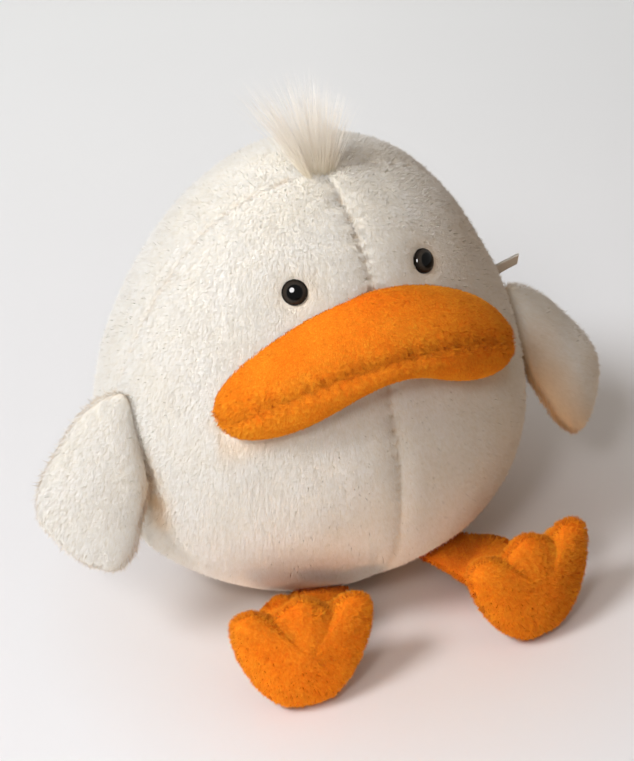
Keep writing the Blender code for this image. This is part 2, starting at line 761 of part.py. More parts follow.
def ribbon(group, material):
    """Folded bare ribbon held in the side seam."""
    point, normal, up, side = body_frame(RIBBON_HEIGHT_share, math.pi / 2)
    out = normal * math.cos(RIBBON_TILT) + up * math.sin(RIBBON_TILT)
    along = up * math.cos(RIBBON_TILT) - normal * math.sin(RIBBON_TILT)
    across = along * math.cos(RIBBON_TWIST) - side * math.sin(RIBBON_TWIST)
    facing = side * math.cos(RIBBON_TWIST) + along * math.sin(RIBBON_TWIST)
    root = point + normal * RIBBON_STAND
    run = RIBBON_LENGTH - RIBBON_LOOP
    path = [(0.0, RIBBON_LOOP), (run / 2, RIBBON_LOOP)]
    for step in range(RIBBON_BEND + 1):
        angle = math.pi * (0.5 - step / RIBBON_BEND)
        path.append((run + RIBBON_LOOP * math.cos(angle), RIBBON_LOOP * math.sin(angle)))
    path += [(run / 2, -RIBBON_LOOP), (0.0, -RIBBON_LOOP)]
    rows = []
    for far, off in path:
        spot = root + out * far + facing * off
        rows.append([spot - across * RIBBON_WIDTH / 2, spot + across * RIBBON_WIDTH / 2])
    heart = root + out * (run / 2)
    return shell("side_ribbon", rows, RIBBON_THICK, root, group, material, heart)


def main():
    clear_scene()
    duck = collection("plush_duck")
    cutters = collection("cutters")
    white = plain_material("white_plush", (0.86, 0.82, 0.74), 0.95)
    orange = plain_material("orange_plush", (0.93, 0.33, 0.03), 0.9)
    polyfill = plain_material("polyester_fill", (0.92, 0.92, 0.92), 1.0)
    hair = plain_material("hair", (0.88, 0.83, 0.72), 0.7)
    plastic = plain_material("eye_plastic", (0.02, 0.017, 0.015), 0.1)
    lock = plain_material("washer_plastic", (0.85, 0.85, 0.83), 0.45)
    satin = plain_material("ribbon_satin", (0.80, 0.80, 0.78), 0.5)

    quarter = math.pi / 2
    front_left = gore("front_panel_left", 0.0, duck, white)
    front_right = gore("front_panel_right", -quarter, duck, white)
    gore("back_panel_left", quarter, duck, white)
    gore("back_panel_right", 2 * quarter, duck, white)
    base_panel(duck, white)
    stuffing = body_fill(duck, polyfill)

    bill_panel("bill_lower_panel", 0.0, duck, orange)
    bill_panel("bill_upper_panel", math.pi, duck, orange)
    bill_fill(duck, polyfill)

    for side, front in (("left", front_left), ("right", front_right)):
        eye(side, duck, plastic)
        washer(side, duck, lock)
        seat, hole, pocket = eye_cutters(side, cutters)
        cut(front, seat)
        cut(front, hole)
        cut(stuffing, pocket)
        wing(side, duck, white, polyfill)
        leg(side, duck, orange, polyfill)
        foot(side, duck, orange, polyfill)

    tail(duck, white, polyfill)
    tuft(duck, hair)
    ribbon(duck, satin)


main()
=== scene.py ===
import math

import bpy
import numpy as np
from mathutils import Matrix, Vector, kdtree, noise


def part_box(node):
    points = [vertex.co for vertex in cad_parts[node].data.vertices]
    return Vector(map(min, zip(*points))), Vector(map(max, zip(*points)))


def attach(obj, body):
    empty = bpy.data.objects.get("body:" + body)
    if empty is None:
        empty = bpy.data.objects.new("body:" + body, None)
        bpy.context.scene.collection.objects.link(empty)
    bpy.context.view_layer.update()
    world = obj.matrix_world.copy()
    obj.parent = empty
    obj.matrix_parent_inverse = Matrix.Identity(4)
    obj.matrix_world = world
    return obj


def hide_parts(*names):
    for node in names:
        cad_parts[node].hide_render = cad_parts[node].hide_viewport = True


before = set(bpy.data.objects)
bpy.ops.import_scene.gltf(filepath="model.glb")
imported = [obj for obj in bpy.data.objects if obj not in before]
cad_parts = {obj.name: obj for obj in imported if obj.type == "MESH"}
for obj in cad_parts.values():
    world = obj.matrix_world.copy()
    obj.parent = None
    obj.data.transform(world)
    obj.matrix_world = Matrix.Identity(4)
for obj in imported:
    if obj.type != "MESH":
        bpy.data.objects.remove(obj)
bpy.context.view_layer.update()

mm = 0.001
sides = {"right": -1.0, "left": 1.0}
bakeMap = "OFBake"


# Shared shapes and tools

bodyShape = {
    "halfWidth": 0.115, "depthShare": 0.862, "length": 0.230, "bend": math.radians(13), "baseHalfWidth": 0.0485,
    "widest": 0.36, "seatPower": 2.5, "shoulderPower": 1.45, "capPower": 20, "capShare": 0.10,
}


def unit(vectors):
    size = np.linalg.norm(vectors, axis=-1, keepdims=True)
    return vectors / np.maximum(size, 1e-12)


def dot(a, b):
    return (a * b).sum(-1, keepdims=True)


def eggRadius(along):
    s = bodyShape
    seat = 1 - (s["baseHalfWidth"] / s["halfWidth"]) ** 2
    low = seat * np.clip((s["widest"] - along) / s["widest"], 0, None) ** s["seatPower"]
    rise = np.clip((along - s["widest"]) / (1 - s["widest"]), 0, None)
    high = (1 - s["capShare"]) * rise ** s["shoulderPower"] + s["capShare"] * rise ** s["capPower"]
    return s["halfWidth"] * np.sqrt(np.clip(1 - np.where(along <= s["widest"], low, high), 0, None))


def centreLine(along):
    s = bodyShape
    curve = s["bend"] / ((1 - s["widest"]) * s["length"])
    lean = curve * np.clip(along - s["widest"], 0, None) * s["length"]
    up = np.minimum(along, s["widest"]) * s["length"] + np.sin(lean) / curve
    return -(1 - np.cos(lean)) / curve, up, lean


def bodyPoint(along, turn):
    along, turn = np.broadcast_arrays(np.asarray(along, float), np.asarray(turn, float))
    radius = eggRadius(along)
    back, up, lean = centreLine(along)
    front = radius * bodyShape["depthShare"] * np.cos(turn)
    return np.stack([radius * np.sin(turn), back - front * np.cos(lean), up - front * np.sin(lean)], -1)


def bodyFrame(along, turn):  # point, outward normal, upward and sideways tangents
    step = 0.002
    up = unit(bodyPoint(np.minimum(along + step, 1), turn) - bodyPoint(np.maximum(along - step, 0), turn))
    side = unit(bodyPoint(along, turn + step) - bodyPoint(along, turn - step))
    return bodyPoint(along, turn), unit(np.cross(side, up)), up, side


def bodyProud(along, turn, proud):
    point, normal, _, _ = bodyFrame(along, turn)
    return point + normal * np.asarray(proud)[..., None]


def bump(distance, reach):
    return np.exp(-(distance / reach) ** 2)


def softNoise(points, scale, seed=0.0):  # one smooth value from -1 to 1 for each point
    flat = points.reshape(-1, 3) / scale + seed
    return np.array([noise.noise(Vector(p)) for p in flat]).reshape(points.shape[:-1])


def closedSpline(spots, count):  # smooth closed outline through the given spots
    spots = np.asarray(spots, float)
    where = np.linspace(0, len(spots), count, endpoint=False)
    piece = np.floor(where).astype(int)
    t = (where - piece)[:, None]
    a, b, c, d = (spots[(piece + k) % len(spots)] for k in (-1, 0, 1, 2))
    return 0.5 * (2 * b + (c - a) * t + (2 * a - 5 * b + 4 * c - d) * t ** 2 + (3 * b - 3 * c + d - a) * t ** 3)


def newPiece(name, points, faces, uv, material, fields=None, normals=None):
    mesh = bpy.data.meshes.new(name)
    mesh.from_pydata(points.tolist(), [], faces)
    mesh.materials.append(material)
    layer = mesh.uv_layers.new(name=bakeMap)
    layer.data.foreach_set("uv", np.asarray(uv, np.float32).ravel())
    for field, values in (fields or {}).items():
        spots = mesh.attributes.new(field, "FLOAT", "POINT").data
        spots.foreach_set("value", np.asarray(values, np.float32).ravel())
    mesh.shade_smooth()
    if normals is not None:
        mesh.normals_split_custom_set_from_vertices(normals)
    piece = bpy.data.objects.new(name, mesh)
    bpy.context.scene.collection.objects.link(piece)
    return piece


def loftPiece(name, grid, material, around=True, capped=True, fields=None):
    # a skin through rows of points, with a pole at either end where it is capped
    rowCount, columnCount = grid.shape[:2]
    points = grid.reshape(-1, 3)
    columns = np.arange(columnCount if around else columnCount - 1)
    rows = np.arange(rowCount - 1)[:, None]
    here, after = columns[None, :], ((columns + 1) % columnCount)[None, :]
    quads = np.stack([rows * columnCount + here, rows * columnCount + after,
                      (rows + 1) * columnCount + after, (rows + 1) * columnCount + here], -1).reshape(-1, 4)
    u0, u1 = here / columnCount, (here + 1) / columnCount
    v0, v1 = 0.04 + 0.92 * rows / (rowCount - 1), 0.04 + 0.92 * (rows + 1) / (rowCount - 1)
    flat = [np.broadcast_to(x, (rowCount - 1, len(columns))) for x in (u0, v0, u1, v0, u1, v1, u0, v1)]
    uv = [np.stack(flat, -1).reshape(-1, 2)]
    faces = quads.tolist()
    fields = {key: np.asarray(value, float).reshape(-1) for key, value in (fields or {}).items()}
    if capped:
        for row, height, edge in ((0, 0.0, 0.04), (rowCount - 1, 1.0, 0.96)):
            pole = len(points)
            points = np.vstack([points, grid[row].mean(0)])
            fields = {key: np.append(value, value[row * columnCount:(row + 1) * columnCount].mean())
                      for key, value in fields.items()}
            for column in range(columnCount):
                a, b = row * columnCount + column, row * columnCount + (column + 1) % columnCount
                left, right = column / columnCount, (column + 1) / columnCount
                corners, place = [b, a, pole], [(right, edge), (left, edge), ((left + right) / 2, height)]
                if row:
                    corners, place = corners[1::-1] + [pole], place[1::-1] + place[2:]
                faces.append(corners)
                uv.append(np.array(place))
    piece = newPiece(name, points, faces, np.vstack(uv), material, fields)
    mesh = piece.data
    normals = np.array([p.normal for p in mesh.polygons])
    centres = np.array([p.center for p in mesh.polygons])
    areas = np.array([p.area for p in mesh.polygons])
    if (((centres - centres.mean(0)) * normals).sum(1) * areas).sum() < 0:
        mesh.flip_normals()
    return piece


def scatter(skin, perSquareMm, rng, mask):  # random places on a skin, with its normals and fields there
    mesh = skin.data
    mesh.calc_loop_triangles()
    corners = np.empty(len(mesh.loop_triangles) * 3, np.int32)
    mesh.loop_triangles.foreach_get("vertices", corners)
    corners = corners.reshape(-1, 3)
    points = np.empty(len(mesh.vertices) * 3)
    mesh.vertices.foreach_get("co", points)
    points = points.reshape(-1, 3)
    normals = np.empty(len(mesh.vertices) * 3, np.float32)
    mesh.vertex_normals.foreach_get("vector", normals)
    normals = normals.reshape(-1, 3)
    a, b, c = (points[corners[:, k]] for k in range(3))
    weight = np.linalg.norm(np.cross(b - a, c - a), axis=1) / 2
    if mask is not None:
        weight = weight * mask[corners].mean(1)
    count = int(weight.sum() / mm ** 2 * perSquareMm)
    chosen = np.searchsorted(np.cumsum(weight), rng.random(count) * weight.sum())
    chosen = np.minimum(chosen, len(corners) - 1)
    s, t = rng.random(count), rng.random(count)
    over = s + t > 1
    s, t = np.where(over, 1 - s, s), np.where(over, 1 - t, t)
    share = np.stack([1 - s - t, s, t], 1)

    def spread(values):
        return (values[corners[chosen]] * share.reshape(share.shape + (1,) * (values.ndim - 1))).sum(1)

    fields = {}
    for attribute in mesh.attributes:
        if attribute.data_type == "FLOAT" and attribute.domain == "POINT":
            values = np.empty(len(points), np.float32)
            attribute.data.foreach_get("value", values)
            fields[attribute.name] = spread(values)
    return spread(points), unit(spread(normals)), fields


def growPile(name, skin, pile, nap, material, body, mask=None, trim=None, parts=1):
    # flat tapering fibres that stand on a skin, lie over along the nap and gather in small locks
    rng = np.random.default_rng(pile["seed"])
    roots, normals, fields = scatter(skin, pile["perSquareMm"], rng, mask)
    count = len(roots)
    along = nap(roots, normals)
    along = unit(along - normals * dot(along, normals))
    wild = unit(rng.normal(size=(count, 3)))
    length = pile["length"] * rng.uniform(1 - pile["uneven"], 1 + pile["uneven"], (count, 1))
    seam = fields.get("seam", np.zeros(count))[:, None]
    paintedShade = fields.get("paintedShade", np.zeros(count))
    length = length * (1 + (pile["seamLength"] - 1) * seam)
    if trim is not None:
        keep, turned = trim(roots, normals, fields)
        length = length * keep[:, None]
        along = unit(along + turned)
    lower, upper = math.radians(pile["lieRoot"]), math.radians(pile["lieTip"])
    stray = (rng.random((count, 1)) < pile["strays"]) * rng.uniform(0.4, 0.8, (count, 1))
    lower, upper = lower * (1 - stray), upper * (1 - stray)
    rise = unit(normals * np.cos(lower) + along * np.sin(lower) + wild * pile["wild"])
    fall = unit(normals * np.cos(upper) + along * np.sin(upper) + wild * pile["wild"] * 1.5)
    middle = roots + rise * length * 0.5
    tips = middle + fall * length * 0.5

    lockCount = max(1, count // pile["lock"])
    tree = kdtree.KDTree(lockCount)
    heads = rng.permutation(count)[:lockCount]
    for k, head in enumerate(heads):
        tree.insert(roots[head], k)
    tree.balance()
    mine = heads[np.array([tree.find(p)[1] for p in roots])]
    sway = unit(rng.normal(size=(count, 3)))[mine] * pile["sway"] * pile["length"]
    pull = pile["gather"] * rng.uniform(0.5, 1.1, (count, 1)) * (stray == 0)
    pull = pull * np.clip(length / pile["length"], 0, 1)
    middle = middle + ((middle[mine] - middle) * 0.5 + sway * 0.3) * pull
    tips = tips + (tips[mine] - tips + sway) * pull

    across = unit(np.cross(tips - roots, normals))
    spin = rng.uniform(-1, 1, (count, 1)) * math.radians(pile["spin"])
    facing = unit(np.cross(across, tips - roots))
    across = across * np.cos(spin) + facing * np.sin(spin)
    half = across * pile["width"] / 2 * rng.uniform(0.75, 1.25, (count, 1))
    base = roots - normals * 0.25 * mm
    strips = np.stack([base, middle + half, tips, middle - half], 1)
    reach, shape = [0.0, 0.5, 1.0, 0.5], [0, 1, 2, 3]
    flat = [(0.5, 0.1), (0.8, 0.5), (0.5, 0.9), (0.2, 0.5)]
    strips[..., 2] = np.maximum(strips[..., 2], 0.3 * mm)
    per = len(reach)
    lit = unit(normals * pile["soften"] + facing * np.sign(dot(facing, normals)) * (1 - pile["soften"]))
    tone = rng.random(count) * 0.35 + rng.random(count)[mine] * 0.65

    pieces = []
    order = np.arange(count)
    groups = [order] if parts == 1 else [order[np.floor(fields["quarter"] + 0.5).astype(int) % parts == k]
                                         for k in range(parts)]
    for group, part in zip(groups, [""] if parts == 1 else pile["partNames"]):
        size = len(group)
        faces = (np.arange(size)[:, None] * per + shape).reshape(-1, 4)
        cells = math.ceil(math.sqrt(size))
        corner = np.stack([np.arange(size) % cells, np.arange(size) // cells], 1)[:, None, :]
        uv = ((corner + np.array(flat)[None]) / cells).reshape(-1, 2)
        made = newPiece(name + part, strips[group].reshape(-1, 3), faces.tolist(), uv, material,
                        {"reach": np.tile(reach, size), "tone": np.repeat(tone[group], per),
                         "seam": np.repeat(seam[group], per), "paintedShade": np.repeat(paintedShade[group], per)},
                        np.repeat(lit[group], per, 0))
        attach(made, body)
        pieces.append(made)
    print(name, count, "fibres")
    return pieces


# Finishes

def finishNodes(name):
    material = bpy.data.materials.new(name)
    material.use_nodes = True
    nodes, links = material.node_tree.nodes, material.node_tree.links
    return material, nodes, links, nodes["Principled BSDF"]


def addNoise(nodes, links, scale, detail=3.0, rough=0.55):
    place = nodes.new("ShaderNodeTexCoord")
    cloud = nodes.new("ShaderNodeTexNoise")
    cloud.inputs["Scale"].default_value = scale
    cloud.inputs["Detail"].default_value = detail
    cloud.inputs["Roughness"].default_value = rough
    links.new(place.outputs["Object"], cloud.inputs["Vector"])
    return cloud


def addRamp(nodes, links, source, stops):
    ramp = nodes.new("ShaderNodeValToRGB")
    elements = ramp.color_ramp.elements
    while len(elements) < len(stops):
        elements.new(0.5)
    for element, (place, colour) in zip(elements, stops):
        element.position = place
        element.color = (*colour, 1.0)
    links.new(source, ramp.inputs["Fac"])
    return ramp.outputs["Color"]


def addMix(nodes, links, factor, first, second, way="MIX"):
    mix = nodes.new("ShaderNodeMix")
    mix.data_type = "RGBA"
    mix.blend_type = way
    for socket, value in ((mix.inputs["Factor"], factor), (mix.inputs["A"], first), (mix.inputs["B"], second)):
        if isinstance(value, bpy.types.NodeSocket):
            links.new(value, socket)
        else:
            socket.default_value = value if isinstance(value, float) else (*value, 1.0)
    return mix.outputs["Result"]


def addField(nodes, name):
    field = nodes.new("ShaderNodeAttribute")
    field.attribute_name = name
    return field.outputs["Fac"]


def addPatches(nodes, links, plush, colour):  # soft large patches, and painted shade: a darker, browner tone in the shaded places the field marks
    cloud = addNoise(nodes, links, plush["patch"], 2.0)
    share = addRamp(nodes, links, cloud.outputs["Fac"], [(0.36, (0.0, 0.0, 0.0)), (0.64, (1.0, 1.0, 1.0))])
    colour = addMix(nodes, links, share, colour, addMix(nodes, links, 1.0, colour, plush["patchTint"], "MULTIPLY"))
    deep = addMix(nodes, links, 1.0, colour, plush["paintedShadeTint"], "MULTIPLY")
    return addMix(nodes, links, addField(nodes, "paintedShade"), colour, deep)


def addBump(nodes, links, shader, height, strength, distance):
    relief = nodes.new("ShaderNodeBump")
    relief.inputs["Strength"].default_value = strength
    relief.inputs["Distance"].default_value = distance
    links.new(height, relief.inputs["Height"])
    links.new(relief.outputs["Normal"], shader.inputs["Normal"])


def plushFinish(name, plush):  # woven backing under the pile: mottled, darker and warmer in the seams, partly the seam itself and partly painted shade in its pits, with painted shade in shaded places
    material, nodes, links, shader = finishNodes(name)
    grain = addNoise(nodes, links, plush["grain"], 4.0, 0.65)
    cloth = addRamp(nodes, links, grain.outputs["Fac"], [(0.32, plush["shade"]), (0.62, plush["cloth"])])
    cloth = addPatches(nodes, links, plush, cloth)
    cloth = addMix(nodes, links, addField(nodes, "seam"), cloth, plush["seamAndShadeTint"])
    links.new(cloth, shader.inputs["Base Color"])
    shader.inputs["Roughness"].default_value = 0.95
    shader.inputs["Specular IOR Level"].default_value = 0.05
    addBump(nodes, links, shader, grain.outputs["Fac"], 0.6, plush["relief"])
    return material


def pileFinish(name, plush):  # fibres: a deeper, warmer tone at the root, painted shade deep in the pile; light tips, a little different from one to the next; darker at the seams, partly painted shade in the seam pits; painted shade in shaded places
    material, nodes, links, shader = finishNodes(name)
    fibre = addRamp(nodes, links, addField(nodes, "reach"),
                    [(0.0, plush["root"]), (0.45, plush["middle"]), (1.0, plush["tip"])])
    fibre = addPatches(nodes, links, plush, fibre)
    tone = addRamp(nodes, links, addField(nodes, "tone"), [(0.15, plush["dullest"]), (0.65, (1.0, 1.0, 1.0))])
    fibre = addMix(nodes, links, 1.0, fibre, tone, "MULTIPLY")
    deep = addMix(nodes, links, 1.0, fibre, plush["seamAndShadeFibre"], "MULTIPLY")
    fibre = addMix(nodes, links, addField(nodes, "seam"), fibre, deep)
    links.new(fibre, shader.inputs["Base Color"])
    shader.inputs["Roughness"].default_value = plush["rough"]
    shader.inputs["Specular IOR Level"].default_value = 0.05
    shader.inputs["Sheen Weight"].default_value = plush["sheen"]
    shader.inputs["Sheen Tint"].default_value = (*plush["sheenTint"], 1.0)
    shader.inputs["Sheen Roughness"].default_value = 0.5
    return material


whitePlush = {
    # seam colours for backing and fibres: darker and browner, partly the seam itself and partly painted shade in its
    # pits
    "cloth": (0.92, 0.89, 0.83), "shade": (0.88, 0.83, 0.74), "seamAndShadeTint": (0.74, 0.58, 0.40),
    # fibre colour from root to tip: the deeper, warmer root is painted shade deep in the pile
    "root": (0.94, 0.90, 0.835), "middle": (0.95, 0.935, 0.905), "tip": (0.955, 0.945, 0.93),
    "dullest": (0.94, 0.925, 0.895), "seamAndShadeFibre": (0.90, 0.76, 0.58), "patchTint": (0.985, 0.975, 0.955),
    # the painted shade tint: darker and browner where shade falls
    "paintedShadeTint": (0.95, 0.72, 0.47), "grain": 700.0, "patch": 45.0, "relief": 0.6 * mm, "rough": 0.95, "sheen": 0.10,
    "sheenTint": (1.0, 0.98, 0.95),
}
orangePlush = {
    # seam colours for backing and fibres: darker and browner, partly the seam itself and partly painted shade in its
    # pits
    "cloth": (0.95, 0.28, 0.012), "shade": (0.84, 0.20, 0.008), "seamAndShadeTint": (0.55, 0.10, 0.006),
    # fibre colour from root to tip: the deeper, warmer root is painted shade deep in the pile
    "root": (0.94, 0.26, 0.008), "middle": (1.0, 0.36, 0.015), "tip": (1.0, 0.46, 0.035),
    "dullest": (0.88, 0.74, 0.58), "seamAndShadeFibre": (0.88, 0.62, 0.48), "patchTint": (0.97, 0.84, 0.68),
    # the painted shade tint: darker and browner where shade falls
    "paintedShadeTint": (0.90, 0.70, 0.60), "grain": 900.0, "patch": 60.0, "relief": 0.4 * mm, "rough": 0.85, "sheen": 0.45,
    "sheenTint": (1.0, 0.45, 0.08),
}
whiteCloth = plushFinish("whiteCloth", whitePlush)
whiteFibre = pileFinish("whiteFibre", whitePlush)
orangeCloth = plushFinish("orangeCloth", orangePlush)
orangeFibre = pileFinish("orangeFibre", orangePlush)
print("finishes made")


def downNap(points, normals):
    return np.broadcast_to(np.array([0.0, 0.0, -1.0]), points.shape)


# Bill: one pillow laid round the face

billShape = {
    "span": math.radians(48.4), "middle": 0.769, "droop": 0.0336, "droopEnd": 0.0029, "halfHeight": 0.0243,
    "reach": 0.0234, "sag": 0.0089, "heightPower": 2.90, "reachPower": 2.35, "seam": math.radians(103),
    "waist": 0.53, "waistPlace": -0.075, "waistSpread": 0.465,
    "mapRadius": 0.088, "stations": 150, "round": 44, "seamDip": 2.5 * mm, "seamReach": 2.1 * mm,
    "ruffle": 0.8 * mm, "rufflePitch": 3.7 * mm, "lumps": 0.9 * mm, "inset": 0.8 * mm,
}


def billMiddle(turn):
    part = turn / billShape["span"]
    drop = billShape["droop"] * part ** 2 + billShape["droopEnd"] * part ** 4
    return billShape["middle"] - drop / bodyShape["length"]


def billSwell(part):
    inside = np.clip(np.abs(part), 0, 1)
    high = (1 - inside ** billShape["heightPower"]) ** (1 / billShape["heightPower"])
    far = (1 - inside ** billShape["reachPower"]) ** (1 / billShape["reachPower"])
    return high, far


def billPoint(part, angle, inset, proud, arch=1.0):
    s, step, length = billShape, 0.002, bodyShape["length"]
    turn = part * s["span"]
    climb = (billMiddle(turn + step) - billMiddle(turn - step)) * length
    run = 2 * step * s["mapRadius"]
    size = np.hypot(run, climb)
    high, far = billSwell(part)
    waist = 1 - s["waist"] * bump(part - s["waistPlace"], s["waistSpread"]) * (np.asarray(angle) < math.pi / 2)
    rise = -(s["halfHeight"] * high * waist - inset) * np.cos(angle) - s["sag"] * high * np.sin(angle) * arch
    along = billMiddle(turn) + run / size * rise / length
    around = turn - climb / size * rise / s["mapRadius"]
    return bodyProud(along, around, proud + (s["reach"] * far - inset) * np.sin(angle) * arch)


def makeBill():
    s = billShape
    edge = np.linspace(-1, 1, s["stations"])
    part = np.sin(edge * math.pi / 2 * 0.994)[:, None]
    front = np.linspace(0, math.pi, s["round"])[None, :]
    back = np.linspace(math.pi, 0, 10)[None, 1:-1]
    far = billSwell(part)[1]
    off = np.abs(front - s["seam"]) * s["reach"] * far
    run = part * s["span"] * s["mapRadius"]
    wander = softNoise(np.stack([run, run * 0, run * 0 + 0.3], -1), 9 * mm)
    wave = np.cos(2 * math.pi * run / s["rufflePitch"] + wander * 8 + 1.3 * (front > s["seam"]))
    wave = wave * (0.6 + 0.6 * softNoise(np.stack([run, run * 0, run * 0 + 0.9], -1), 5 * mm))
    dip = s["seamDip"] * far * bump(off, s["seamReach"]) * (1 - 0.4 * wave)
    dip = dip - s["ruffle"] * far * wave * bump(off, 5 * mm) + s["inset"]
    fore = billPoint(part, front, dip, 0.4 * mm)
    fore += bodyFrame(billMiddle(part * s["span"]), part * s["span"])[1] * (
        softNoise(fore, 16 * mm, 5.0) * s["lumps"] * far * np.sin(front))[..., None]
    rear = billPoint(part, back, 0.0, -0.8 * mm, 0.0)
    grid = np.concatenate([fore, rear], 1)
    # seam colour: darkest in the deepest pits of the ruffled seam, painted shade there; along the rim where the bill
    # meets the body it is partly the tucked cloth edge and partly painted contact shadow; the hidden back takes the
    # full seam colour
    seam = bump(off, 1.9 * mm) * np.clip(far * 1.2, 0, 1) * np.clip(0.48 - 0.50 * wave, 0.1, 1)
    seam = np.concatenate([seam, rear[..., 0] * 0], 1)
    rim = bump(np.minimum(front, math.pi - front) * s["reach"] * far, 1.0 * mm)
    seam[:, :s["round"]] = np.maximum(seam[:, :s["round"]], rim * 0.8)
    seam[:, s["round"]:] = 1.0
    fluff = np.zeros(grid.shape[:2])
    fluff[:, :s["round"]] = bump(np.clip(off - 1 * mm, 0, None), 6 * mm)
    bill = loftPiece("bill", grid, orangeCloth, fields={"seam": seam, "fluff": fluff})
    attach(bill, "body")
    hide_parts("bill_upper_panel", "bill_lower_panel", "bill_fill")
    return bill


billPile = {
    "perSquareMm": 7.0, "length": 1.5 * mm, "uneven": 0.3, "width": 0.21 * mm, "lieRoot": 52, "lieTip": 76,
    "wild": 0.22, "lock": 9, "gather": 0.55, "sway": 0.40, "spin": 30, "seamLength": 1.1, "strays": 0.06,
    "soften": 0.85, "seed": 11,
}


def billTrim(roots, normals, fields):  # longer and wilder by the ruffled seam, close cropped elsewhere
    fluff = fields["fluff"]
    turned = unit(np.random.default_rng(5).normal(size=roots.shape)) * 1.5 * fluff[:, None]
    return 0.75 + 1.25 * fluff, turned


bill = makeBill()
edgeOff = np.ones(len(bill.data.vertices))
edgeOff[:-2] = np.tile(np.arange(billShape["round"] + 8) < billShape["round"], billShape["stations"])
growPile("billPile", bill, billPile, downNap, orangeFibre, "body",
         mask=edgeOff, trim=billTrim)
print("bill made")


# Body: an egg of four gores over a flat base

gores = {
    "rows": 170, "columns": 320, "startHeight": 1.0 * mm, "crownRadius": 1.2 * mm, "seamDip": 1.1 * mm,
    "seamReach": 6.0 * mm, "stitchDip": 0.9 * mm, "stitchReach": 1.4 * mm, "pucker": 0.9 * mm,
    "puckerPitch": 5.0 * mm, "puckerReach": 4.5 * mm, "lumps": 1.3 * mm, "lumpSize": 38 * mm, "crownDip": 2.5 * mm,
    "lowInset": 5.8 * mm,
    # places (along, turn in degrees, reach in mm, strength) that get painted shade: beside the wings, by the legs
    # and round the eyes
    "paintedShadeSpots": [(0.51, 77, 6, 0.5), (0.46, 72, 7, 0.8), (0.42, 69, 7, 0.9), (0.37, 66, 8, 0.9), (0.33, 65, 8, 0.6),
                  (0.105, 26, 26, 0.20), (0.881, 30.3, 9, 0.35)],
}
eyeShape = {
    "radius": 6.1 * mm, "dome": 3.3 * mm, "rim": 1.0 * mm, "sink": 1.8 * mm, "along": 0.881,
    "turn": {"left": math.radians(28.4), "right": math.radians(32.3)},
    "postRadius": 2.1 * mm, "post": 13 * mm, "gap": 0.4 * mm,
}


def crownShare(radius):
    low, high = bodyShape["widest"], 1.0
    for _ in range(50):
        middle = (low + high) / 2
        low, high = (middle, high) if eggRadius(middle) > radius else (low, middle)
    return low


def eyeCentre(side):
    point, normal, up, _ = bodyFrame(eyeShape["along"], sides[side] * eyeShape["turn"][side])
    return point, normal, up


def billEdge(along, turn):  # distance outside the bill's edge along the body, less than 0 under it
    part = turn / billShape["span"]
    rise = (along - billMiddle(np.clip(turn, -billShape["span"], billShape["span"]))) * bodyShape["length"]
    slope = 1 / np.hypot(1, 2 * billShape["droop"] * part / billShape["span"] / billShape["mapRadius"])
    waist = 1 - billShape["waist"] * bump(part - billShape["waistPlace"], billShape["waistSpread"]) * (rise < 0)
    over = np.abs(rise) * slope - billShape["halfHeight"] * billSwell(part)[0] * waist
    past = (np.abs(part) - 1) * billShape["span"] * billShape["mapRadius"]
    return np.where(np.abs(part) < 1, over, np.maximum(np.hypot(np.clip(past, 0, None), rise), 0.1 * mm)), rise


